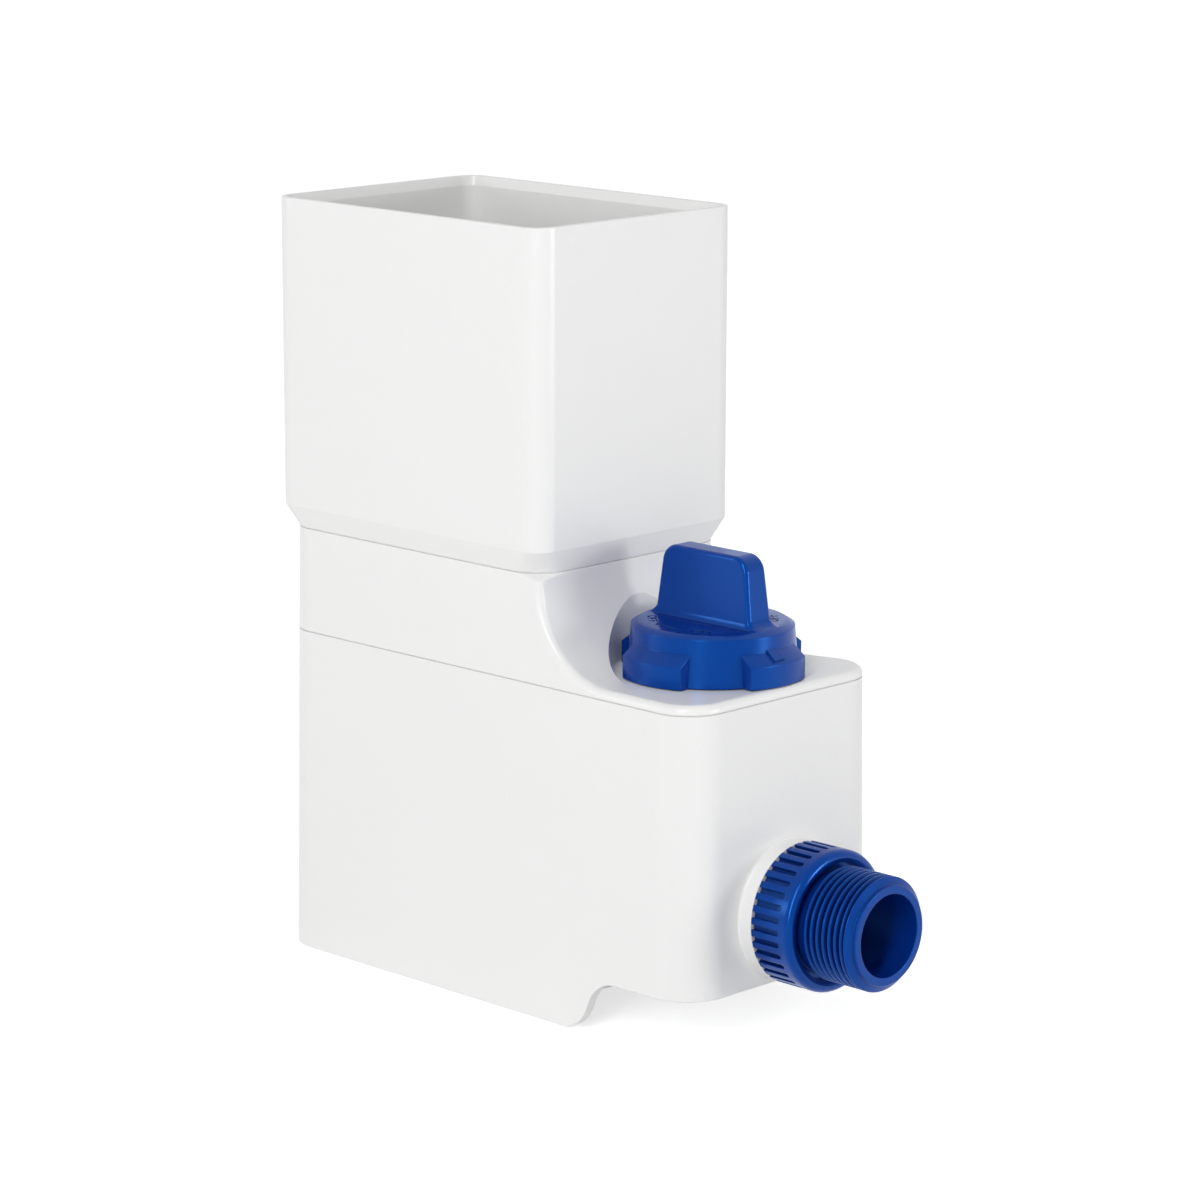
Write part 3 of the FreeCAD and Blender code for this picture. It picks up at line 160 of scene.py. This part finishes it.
class DiverterTailSettings(bpy.types.PropertyGroup):
    """Sizes of the outlet tail, with its places along X"""
    pitch: length("Pitch", "Distance from one thread turn to the next", 2.21)
    crest: length("Crest radius", "Radius of the thread's crest", 16.7)
    root: length("Root radius", "Radius of the thread's root", 15.0)
    first_turn: length("First turn", "Where the first turn stands at the side, along X", 138.06)
    land: length("Land", "Where the last crest starts, along X", 152.55)
    leadin: length("Lead-in", "Where the lead-in bevel starts, along X", 152.8)
    leadin_end: length("Lead-in end", "Where the lead-in bevel ends, along X", 153.95)
    lip: length("Lip radius", "Radius of the plain lip in front of the bevel", 14.5)
    flange: length("Flange radius", "Radius of the flange inside the nut", 18.0)
    flange_height: length("Flange", "Thickness of the flange inside the nut", 2.0)
    bore: length("Bore radius", "Radius of the water way", 12.08)
    steps: IntProperty(name="Steps", description="Steps round a full turn", default=128, min=24)


class DiverterLegendSettings(bpy.types.PropertyGroup):
    """Place and size of the legend on the knob"""
    face: length("Face height", "Height of the knob's flat top", 117.8)
    baseline: length("Baseline radius", "Radius that the letters stand on", 18.9)
    letter: length("Letter height", "Size of the letters", 3.9)
    spacing: angle("Letter spacing", "Angle from one letter to the next", 9.3)
    depth: length("Depth", "Depth of the engraving", 0.45)
    off_angle: angle("OFF angle", "Where the word OFF is centred", -133.5)
    on_angle: angle("ON angle", "Where the word ON is centred", -57.5)
    off_word: StringProperty(
        name="Closed word", description="Word for the closed valve", default="OFF",
    )
    on_word: StringProperty(
        name="Open word", description="Word for the open valve", default="ON",
    )


class DiverterFinishSettings(bpy.types.PropertyGroup):
    """Colours and edges of the plastics, the rubber and the steel"""
    housing: colour("Housing", "Moulded white of the housing", (0.83, 0.83, 0.825))
    blue: colour("Blue", "Moulded blue of knob, nut and tail", (0.001, 0.031, 0.25))
    blue_sheen: colour("Blue sheen", "Tint of the gloss on blue plastic", (0.08, 0.45, 1.0))
    inner: colour("Inner parts", "Natural light grey of the inner parts", (0.60, 0.61, 0.60))
    rubber: colour("Rubber", "Seals and sleeve", (0.022, 0.022, 0.024))
    steel: colour("Screws", "Stainless steel of the screws", (0.62, 0.62, 0.61))
    edge: length("Edge softness", "Radius that an edge is softened by", 0.35)
    blue_edge: length("Blue edge softness", "Radius that a blue edge is softened by", 0.4)
    # Reach of the painted shade that darkens blue plastic near facing walls.
    blue_painted_shade_reach: length(
        "Blue groove reach", "How near a facing wall makes blue plastic look darker", 1.8,
    )


class DiverterStageSettings(bpy.types.PropertyGroup):
    """Floor, camera and light"""
    floor: colour("Floor", "Plain pale floor", (0.86, 0.86, 0.86))
    lens: FloatProperty(
        name="Lens", description="Focal length on a 36 mm wide sensor", default=125.52,
        unit="CAMERA",
    )
    position: FloatVectorProperty(
        name="Camera", description="Where the camera stands",
        default=(0.888375, -0.861797, 0.379056), subtype="TRANSLATION", unit="LENGTH",
    )
    azimuth: angle("Azimuth", "Side that the camera looks from", 44.522)
    elevation: angle("Elevation", "Camera's angle above the horizon", 12.27)
    roll: angle("Roll", "Camera's turn about its own axis", 0.161)
    ambient: FloatProperty(
        name="Ambient", description="Strength of the world's light", default=0.45, min=0.0,
    )
    side_power: power("Side box", "Power of the softbox on the long side", 1.9)
    front_power: power("Front box", "Power of the softbox in front of the outlet", 4.2)
    strip_power: power("Strip", "Power of the tall strip light beside the camera", 15.5)
    glow: FloatProperty(
        name="Floor glow", description="Light that the camera sees from the floor", default=0.6,
    )


# Meshes.

def new_mesh(name, bm):
    """Mesh made from a bmesh, which is freed."""
    mesh = bpy.data.meshes.new(name)
    bm.to_mesh(mesh)
    bm.free()
    return mesh


def add_mesh(bm, mesh):
    """Add a mesh to a bmesh and remove it."""
    bm.from_mesh(mesh)
    bpy.data.meshes.remove(mesh)


def new_object(name, data):
    """Object at the origin, linked to the scene."""
    made = bpy.data.objects.new(name, data)
    bpy.context.scene.collection.objects.link(made)
    return made


def finish_mesh(name, bm):
    """Turn a bmesh in row coordinates into an object, its faces outwards."""
    bmesh.ops.remove_doubles(bm, verts=bm.verts, dist=MERGE_NEW)
    bmesh.ops.recalc_face_normals(bm, faces=bm.faces)
    return new_object(name, new_mesh(name, bm))


def evaluated_mesh(holder):
    """Mesh of an object as its modifiers or its text leave it."""
    graph = bpy.context.evaluated_depsgraph_get()
    return bpy.data.meshes.new_from_object(holder.evaluated_get(graph))


def shade(piece, sharp):
    """Smooth shading up to an angle between faces, with flat faces kept flat."""
    stored = piece.data.attributes.get("custom_normal")
    if stored:
        piece.data.attributes.remove(stored)
    for polygon in piece.data.polygons:
        polygon.use_smooth = True
    piece.data.set_sharp_from_angle(angle=sharp)
    weighted = piece.modifiers.new("flat_faces", "WEIGHTED_NORMAL")
    weighted.weight = FLAT_FACE_WEIGHT
    weighted.keep_sharp = True


def closed_outline(bm, places):
    """Vertices at the places, joined in a ring by edges."""
    points = [bm.verts.new(place) for place in places]
    edges = [bm.edges.new(pair) for pair in zip(points, points[1:] + points[:1])]
    return points + edges


def turn_tail(bm, outline, steps):
    """Turn a closed outline of (x, radius) about the outlet's axis."""
    y, z = OUTLET_CENTRE.yz
    bmesh.ops.spin(
        bm, geom=closed_outline(bm, [(x, y - radius, z) for x, radius in outline]),
        cent=OUTLET_CENTRE, axis=OUTLET_AXIS, dvec=Vector(), angle=math.tau, steps=steps,
        use_merge=True, use_duplicate=False,
    )


def bevel_rings(bm):
    """Bevel the sharp ring edges of a turned mesh."""
    sharp = [
        edge for edge in bm.edges
        if len(edge.link_faces) == 2 and edge.calc_face_angle(0.0) > RING_SHARP
    ]
    bmesh.ops.bevel(
        bm, geom=sharp, offset=RING_BEVEL, offset_type="OFFSET", segments=3, profile=0.5,
        affect="EDGES", material=-1, clamp_overlap=True,
    )


def thread_ridge(tail):
    """Mesh of the thread's ridge, right-handed, from half a turn before the first turn."""
    y, z = OUTLET_CENTRE.yz
    start = tail.first_turn - 0.5 * tail.pitch
    turns = (tail.land - start) / tail.pitch
    steps = round(turns * tail.steps)
    half_pitch = tail.pitch / 2
    depth = tail.crest - tail.root
    section = [
        (start + along * half_pitch, y + tail.root + height * depth, z)
        for along, height in RIDGE_SECTION
    ]
    bm = bmesh.new()
    bmesh.ops.spin(
        bm, geom=closed_outline(bm, section), cent=OUTLET_CENTRE, axis=OUTLET_AXIS,
        dvec=OUTLET_AXIS * (turns * tail.pitch / steps), angle=turns * math.tau, steps=steps,
        use_merge=False, use_duplicate=False,
    )
    ends = [edge for edge in bm.edges if edge.is_boundary]
    bmesh.ops.holes_fill(bm, edges=ends, sides=0)
    if any(edge.is_boundary for edge in bm.edges):
        raise RuntimeError("the thread's ridge isn't closed")
    return new_mesh("thread_ridge", bm)


def make_tail(tail):
    """Outlet tail with its helical thread."""
    back, front = TAIL_LOW.x, TAIL_HIGH.x
    flange_front = back + tail.flange_height
    outline = [
        (back, tail.bore), (back, tail.flange),
        (flange_front, tail.flange), (flange_front, tail.root),
        (tail.land - LAST_FLANK, tail.root), (tail.land, tail.crest),
        (tail.leadin, tail.crest), (tail.leadin_end, tail.lip),
        (front - LIP_BREAK, tail.lip), (front, tail.lip - LIP_BREAK),
        (front, tail.bore + BORE_BREAK), (front - BORE_BREAK, tail.bore),
    ]
    bm = bmesh.new()
    turn_tail(bm, outline, tail.steps)
    bevel_rings(bm)
    add_mesh(bm, thread_ridge(tail))
    piece = finish_mesh("outlet_tail_threaded", bm)
    shade(piece, TAIL_SHARP)
    return piece


def flat_letter(letter, size):
    """Mesh of one letter, centred on its own width, standing on y = 0."""
    curve = bpy.data.curves.new("letter", "FONT")
    curve.body = letter
    curve.size = size
    curve.align_x = "CENTER"
    curve.offset = size * LETTER_SWELL
    curve.resolution_u = LETTER_CURVE_STEPS
    holder = new_object("letter", curve)
    mesh = evaluated_mesh(holder)
    bpy.data.objects.remove(holder)
    bpy.data.curves.remove(curve)
    return mesh


def flat_mesh(name, bm):
    """Mesh of a flat bmesh, its faces all one way."""
    bmesh.ops.recalc_face_normals(bm, faces=bm.faces)
    return new_mesh(name, bm)


def stamp(bm, flat, place, depth):
    """Add a flat mesh as a plug that reaches depth below its place and as far above it."""
    plug = bmesh.new()
    add_mesh(plug, flat)
    bmesh.ops.remove_doubles(plug, verts=plug.verts, dist=MERGE_COPY)
    bmesh.ops.translate(plug, verts=plug.verts, vec=(0, 0, -depth))
    rise = bmesh.ops.extrude_face_region(plug, geom=plug.faces[:], use_keep_orig=True)
    top = [item for item in rise["geom"] if isinstance(item, bmesh.types.BMVert)]
    bmesh.ops.translate(plug, verts=top, vec=(0, 0, 2 * depth))
    bmesh.ops.transform(plug, matrix=place, verts=plug.verts)
    bmesh.ops.recalc_face_normals(plug, faces=plug.faces)
    add_mesh(bm, new_mesh("plug", plug))


def on_face(legend, turn):
    """Middle of the knob's flat top, turned about the knob's axis."""
    centre = Vector((KNOB_CENTRE.x, KNOB_CENTRE.y, legend.face))
    return Matrix.Translation(centre) @ Matrix.Rotation(turn, 4, "Z")


def stamp_word(bm, word, centre, legend):
    """Add the plugs of a word on its circle, with the letters' tops towards the axis."""
    middle = (len(word) - 1) / 2
    outwards = Matrix.Translation((0, -legend.baseline, 0))
    for index, letter in enumerate(word):
        turn = centre + (index - middle) * legend.spacing + math.pi / 2
        place = on_face(legend, turn) @ outwards
        stamp(bm, flat_letter(letter, legend.letter), place, legend.depth)


def stamp_arrow(bm, start, end, legend):
    """Add the plugs of a curved arrow whose head points to start."""
    radius = legend.baseline - legend.letter * ARROW_HEIGHT
    neck = start + (end - start) * HEAD_SHARE
    shaft = bmesh.new()
    edge = [shaft.verts.new((radius + side * ARROW_HALF_WIDTH, 0, 0)) for side in (-1, 1)]
    bmesh.ops.spin(
        shaft, geom=edge + [shaft.edges.new(edge)], cent=(0, 0, 0), axis=(0, 0, 1),
        dvec=(0, 0, 0), angle=end - neck, steps=ARROW_STEPS, use_merge=False,
        use_duplicate=False,
    )
    stamp(bm, flat_mesh("shaft", shaft), on_face(legend, neck), legend.depth)
    head = bmesh.new()
    bmesh.ops.create_circle(head, cap_ends=True, segments=3, radius=HEAD_RADIUS)
    place = on_face(legend, (start + neck) / 2) @ Matrix.Translation((radius, 0, 0))
    about = Matrix.Rotation(math.pi, 4, "Z")
    stamp(bm, flat_mesh("head", head), place @ about, legend.depth)


def make_knob(legend):
    """Copy of the knob with its legend engraved on both sides of the grip."""
    tool = bmesh.new()
    for side in (0.0, math.pi):
        off, on = legend.off_angle + side, legend.on_angle + side
        stamp_word(tool, legend.off_word, off, legend)
        stamp_word(tool, legend.on_word, on, legend)
        stamp_arrow(tool, off + OFF_GAP, on - ON_GAP, legend)
    cutter = new_object("legend", new_mesh("legend", tool))

    bm = bmesh.new()
    bm.from_mesh(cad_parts["knob"].data)
    bmesh.ops.remove_doubles(bm, verts=bm.verts, dist=MERGE_COPY)
    plain = new_mesh("knob_plain", bm)
    piece = new_object("knob_cap", plain)
    cut = piece.modifiers.new("legend", "BOOLEAN")
    cut.object = cutter
    cut.operation = "DIFFERENCE"
    cut.solver = "EXACT"
    engraved = evaluated_mesh(piece)
    if len(engraved.polygons) <= len(plain.polygons):
        raise RuntimeError("the legend wasn't cut into the knob")
    piece.modifiers.clear()
    piece.data = engraved
    engraved.name = "knob_cap"
    bpy.data.meshes.remove(plain)
    bpy.data.objects.remove(cutter)
    shade(piece, KNOB_SHARP)
    return piece


# Materials.

class Value:
    """A shader socket that can be used in Python arithmetic."""

    def __init__(self, shader, socket):
        self.shader = shader
        self.socket = socket

    def other(self, output):
        """Another output of the same node."""
        return Value(self.shader, self.socket.node.outputs[output])

    def _with(self, operation, first, second):
        settings = {"operation": operation}
        return self.shader.node("ShaderNodeMath", settings, {0: first, 1: second})

    def __add__(self, other):
        return self._with("ADD", self, other)

    __radd__ = __add__

    def __sub__(self, other):
        return self._with("SUBTRACT", self, other)

    def __rsub__(self, other):
        return self._with("SUBTRACT", other, self)

    def __mul__(self, other):
        return self._with("MULTIPLY", self, other)

    __rmul__ = __mul__

    def highest(self, other):
        """The higher of two values."""
        return self._with("MAXIMUM", self, other)


class Shader:
    """The nodes of a material or of a world."""

    def __init__(self, owner):
        self.owner = owner
        owner.use_nodes = True
        self.tree = owner.node_tree
        self.surface = self.tree.nodes.get("Principled BSDF")

    def node(self, kind, settings=None, sockets=None, output=0):
        """Add a node, give it its settings, then its sockets; returns one of its outputs."""
        made = self.tree.nodes.new(kind)
        for key, value in (settings or {}).items():
            setattr(made, key, value)
        for key, value in (sockets or {}).items():
            self.feed(made.inputs[key], value)
        return Value(self, made.outputs[output]) if made.outputs else None

    def feed(self, socket, value):
        """Link a value to a socket, or set the socket to a number or colour."""
        if isinstance(value, Value):
            self.tree.links.new(value.socket, socket)
        else:
            socket.default_value = value

    def set(self, **sockets):
        """Feed the surface's sockets, with _ for each blank in their names."""
        for key, value in sockets.items():
            self.feed(self.surface.inputs[key.replace("_", " ")], value)

    def fed(self, name):
        """What already feeds one of the surface's sockets."""
        return Value(self, self.surface.inputs[name].links[0].from_socket)

    def coordinates(self):
        return self.node("ShaderNodeTexCoord", output="Object")

    def noise(self, place, scale, detail, roughness):
        sockets = {"Vector": place, "Scale": scale, "Detail": detail, "Roughness": roughness}
        settings = {"noise_dimensions": "3D"}
        return self.node("ShaderNodeTexNoise", settings, sockets, output="Fac")

    def mix(self, share, first, second):
        """Colour between two colours, each a value or three numbers."""
        first, second = (
            end if isinstance(end, Value) else (*end, 1.0) for end in (first, second)
        )
        settings = {"data_type": "RGBA", "blend_type": "MIX"}
        return self.node("ShaderNodeMix", settings, {0: share, 6: first, 7: second}, output=2)

    def rounded(self, radius, samples):
        """Normal that softens edges by a radius."""
        return self.node("ShaderNodeBevel", {"samples": samples}, {"Radius": radius})

    def bump(self, height, **sockets):
        """Normal with a relief whose height is given in millimetres."""
        relief = {"Strength": 1.0, "Distance": MM, "Height": height, **sockets}
        return self.node("ShaderNodeBump", {}, relief)

    def openness(self, reach):
        """1 on open faces, less in grooves and corners nearer than reach; masks the painted
        shade.
        """
        settings = {"samples": 8, "only_local": True}
        return self.node(
            "ShaderNodeAmbientOcclusion", settings, {"Distance": reach}, output="AO",
        )

    def seen(self):
        """1 where the camera looks, also by reflection and through clear parts."""
        rays = self.node("ShaderNodeLightPath", output="Is Camera Ray")
        mirrored, through = rays.other("Is Glossy Ray"), rays.other("Is Transmission Ray")
        return rays.highest(mirrored.highest(through))


def tone(base, factor):
    """A colour made darker or lighter."""
    return [min(1.0, channel * factor) for channel in base]


def moulded_plastic(name, base, edge, gloss, grain, mottle, shine):
    """Injection-moulded plastic: faint mottling, a fine grain and softly rounded edges."""
    shader = Shader(bpy.data.materials.new(name))
    place = shader.coordinates()
    cloud = shader.noise(place, MOTTLE_SCALE, detail=3.0, roughness=0.55)
    fine = shader.noise(place, GRAIN_SCALE, detail=2.0, roughness=0.6)
    waves = shader.noise(place, WAVE_SCALE, detail=2.0, roughness=0.5)
    relief = fine * grain + waves * (grain * WAVE_DEPTH)
    shader.set(
        Base_Color=shader.mix(cloud, tone(base, 1 - mottle), tone(base, 1 + mottle)),
        Roughness=gloss + (fine - 0.5) * GRAIN_GLOSS + (cloud - 0.5) * MOTTLE_GLOSS,
        Normal=shader.bump(relief, Normal=shader.rounded(edge, samples=8)),
        IOR=1.5, Specular_IOR_Level=shine,
    )
    return shader


def blue_plastic():
    """The one blue finish of knob, nut and tail, with painted shade darkening its grooves."""
    made = bpy.data.materials.get("blue_plastic_moulded")
    if made:
        return made
    finish = bpy.context.scene.diverter_finish
    shader = moulded_plastic(
        "blue_plastic_moulded", finish.blue, finish.blue_edge, gloss=0.23, grain=0.002,
        mottle=0.03, shine=0.8,
    )
    # Painted shade: the colour darkens in grooves and corners, where facing walls are near.
    painted_shade_mask = shader.openness(finish.blue_painted_shade_reach)
    painted_groove_shade = tone(finish.blue, PAINTED_SHADE_TONE)
    shader.set(
        Base_Color=shader.mix(painted_shade_mask, painted_groove_shade, shader.fed("Base Color")),
        Metallic=0.2, Specular_Tint=(*finish.blue_sheen, 1.0),
    )
    return shader.owner


def moulded_rubber(name, base, edge):
    """Moulded black rubber with a dull bloom."""
    shader = Shader(bpy.data.materials.new(name))
    place = shader.coordinates()
    bloom = shader.noise(place, scale=140.0, detail=4.0, roughness=0.6)
    fine = shader.noise(place, scale=3200.0, detail=2.0, roughness=0.6)
    shader.set(
        Base_Color=shader.mix(bloom, base, tone(base, BLOOM_TONE)),
        Roughness=0.62 + bloom * 0.2,
        Normal=shader.bump(fine * 0.02, Normal=shader.rounded(edge, samples=4)),
    )
    return shader.owner


def turned_steel(name, base):
    """Turned stainless steel with fine tool marks along its axis."""
    shader = Shader(bpy.data.materials.new(name))
    squeezed = shader.node(
        "ShaderNodeMapping", {"vector_type": "POINT"},
        {"Vector": shader.coordinates(), "Scale": TOOL_MARKS},
    )
    marks = shader.noise(squeezed, scale=1.0, detail=3.0, roughness=0.6)
    shader.set(
        Base_Color=shader.mix(marks, tone(base, 0.85), base), Metallic=1.0,
        Roughness=0.26 + marks * 0.16, Normal=shader.bump(marks * 0.01),
    )
    return shader.owner


def dress(nodes, material):
    """Give CAD nodes a finish."""
    for name in nodes:
        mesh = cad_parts[name].data
        mesh.materials.clear()
        mesh.materials.append(material)


# Stage.

def make_floor(stage):
    """Plain floor that shows white to the camera and keeps the object's shadow."""
    bm = bmesh.new()
    bmesh.ops.create_grid(bm, x_segments=2, y_segments=2, size=FLOOR_HALF_WIDTH)
    floor = finish_mesh("floor", bm)
    if floor.data.polygons[0].normal.z < 0:
        floor.data.flip_normals()
    shader = Shader(bpy.data.materials.new("floor_pale"))
    shader.set(
        Base_Color=(*stage.floor, 1.0), Roughness=0.9, Emission_Strength=stage.glow,
        Emission_Color=shader.mix(shader.seen(), BLACK, WHITE),
    )
    floor.data.materials.append(shader.owner)


def make_world(scene, stage):
    """Even light all round, and plain white behind the object."""
    scene.world = bpy.data.worlds.new("studio")
    shader = Shader(scene.world)
    shader.tree.nodes.clear()
    white = (*WHITE, 1.0)
    light = shader.node("ShaderNodeBackground", {}, {"Color": white, "Strength": stage.ambient})
    backdrop = shader.node("ShaderNodeBackground", {}, {"Color": white, "Strength": 1.0})
    either = shader.node("ShaderNodeMixShader", {}, {0: shader.seen(), 1: light, 2: backdrop})
    shader.node("ShaderNodeOutputWorld", {}, {"Surface": either})


def make_lamp(name, watts, size, place):
    """Rectangular lamp turned to the lit point."""
    light = bpy.data.lights.new(name, "AREA")
    light.shape = "RECTANGLE"
    light.size, light.size_y = size
    light.energy = watts
    lamp = new_object(name, light)
    lamp.location = place
    lamp.rotation_euler = (LIT_POINT - lamp.location).to_track_quat("-Z", "Y").to_euler()


def make_camera(stage):
    """Camera at the photograph's viewing angle."""
    data = bpy.data.cameras.new("photo_camera")
    data.lens = stage.lens
    data.sensor_width = SENSOR_WIDTH
    data.clip_start, data.clip_end = 0.05, 50.0
    camera = new_object("photo_camera", data)
    side, lift = stage.azimuth, stage.elevation
    level = Vector((math.sin(side), -math.cos(side), 0)) * math.cos(lift)
    back = level + Vector((0, 0, math.sin(lift)))
    right = Vector((0, 0, 1)).cross(back).normalized()
    turn = Matrix((right, back.cross(right), back)).transposed()
    turn = turn @ Matrix.Rotation(stage.roll, 3, "Z")
    camera.matrix_world = Matrix.Translation(stage.position) @ turn.to_4x4()
    return camera


# Operators.

class DIVERTER_OT_housing(bpy.types.Operator):
    """Finish the white inlet socket, cover and body"""
    bl_idname = "diverter.housing"
    bl_label = "Housing"

    def execute(self, context):
        finish = context.scene.diverter_finish
        white = moulded_plastic(
            "white_plastic_moulded", finish.housing, finish.edge, gloss=0.3, grain=0.006,
            mottle=0.006, shine=0.5,
        )
        dress(HOUSING_NODES, white.owner)
        return {"FINISHED"}


class DIVERTER_OT_inner_parts(bpy.types.Operator):
    """Finish the tray, strainer, valve, seals and screws inside the housing"""
    bl_idname = "diverter.inner_parts"
    bl_label = "Inner parts"

    def execute(self, context):
        finish = context.scene.diverter_finish
        grey = moulded_plastic(
            "grey_plastic_moulded", finish.inner, finish.edge, gloss=0.48, grain=0.01,
            mottle=0.03, shine=0.4,
        )
        rubber = moulded_rubber("rubber_moulded", finish.rubber, finish.edge)
        dress(INNER_NODES, grey.owner)
        dress(RUBBER_NODES, rubber)
        dress(SCREW_NODES, turned_steel("steel_turned", finish.steel))
        return {"FINISHED"}


class DIVERTER_OT_outlet(bpy.types.Operator):
    """Cut the helical thread of the outlet tail and finish it with the union nut"""
    bl_idname = "diverter.outlet"
    bl_label = "Outlet"

    def execute(self, context):
        piece = make_tail(context.scene.diverter_tail)
        piece.data.materials.append(blue_plastic())
        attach(piece, "housing")
        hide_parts("outlet_tail")
        dress(("union_nut", "outlet_tail"), blue_plastic())
        return {"FINISHED"}


class DIVERTER_OT_knob(bpy.types.Operator):
    """Engrave the legend into the knob and finish it"""
    bl_idname = "diverter.knob"
    bl_label = "Knob"

    def execute(self, context):
        piece = make_knob(context.scene.diverter_legend)
        piece.data.materials.clear()
        piece.data.materials.append(blue_plastic())
        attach(piece, "valve")
        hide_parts("knob")
        dress(("knob",), blue_plastic())
        return {"FINISHED"}


class DIVERTER_OT_stage(bpy.types.Operator):
    """Set up the floor, the world, the soft lights and the camera"""
    bl_idname = "diverter.stage"
    bl_label = "Stage"

    def execute(self, context):
        stage = context.scene.diverter_stage
        make_floor(stage)
        make_world(context.scene, stage)
        make_lamp("side_box", stage.side_power, *SIDE_BOX)
        make_lamp("front_box", stage.front_power, *FRONT_BOX)
        make_lamp("strip", stage.strip_power, *STRIP)
        context.scene.camera = make_camera(stage)
        context.scene.view_settings.view_transform = "Standard"
        return {"FINISHED"}


class DIVERTER_PT_panel(bpy.types.Panel):
    """The operators and the settings of the diverter"""
    bl_label = "Diverter"
    bl_idname = "DIVERTER_PT_panel"
    bl_space_type = "VIEW_3D"
    bl_region_type = "UI"
    bl_category = "Diverter"

    def draw(self, context):
        for operator in OPERATORS:
            self.layout.operator(operator.bl_idname)
        for group in SETTINGS:
            box = self.layout.box()
            settings = getattr(context.scene, group)
            for key in settings.__annotations__:
                box.prop(settings, key)


SETTINGS = {
    "diverter_finish": DiverterFinishSettings,
    "diverter_tail": DiverterTailSettings,
    "diverter_legend": DiverterLegendSettings,
    "diverter_stage": DiverterStageSettings,
}
OPERATORS = (
    DIVERTER_OT_housing, DIVERTER_OT_inner_parts, DIVERTER_OT_outlet, DIVERTER_OT_knob,
    DIVERTER_OT_stage,
)
CLASSES = (*SETTINGS.values(), *OPERATORS, DIVERTER_PT_panel)


def register():
    for item in CLASSES:
        bpy.utils.register_class(item)
    for name, group in SETTINGS.items():
        setattr(bpy.types.Scene, name, PointerProperty(type=group))


def unregister():
    for name in SETTINGS:
        delattr(bpy.types.Scene, name)
    for item in reversed(CLASSES):
        bpy.utils.unregister_class(item)


def main():
    register()
    bpy.ops.diverter.housing()
    bpy.ops.diverter.inner_parts()
    bpy.ops.diverter.outlet()
    bpy.ops.diverter.knob()
    bpy.ops.diverter.stage()


if __name__ == "__main__":
    main()
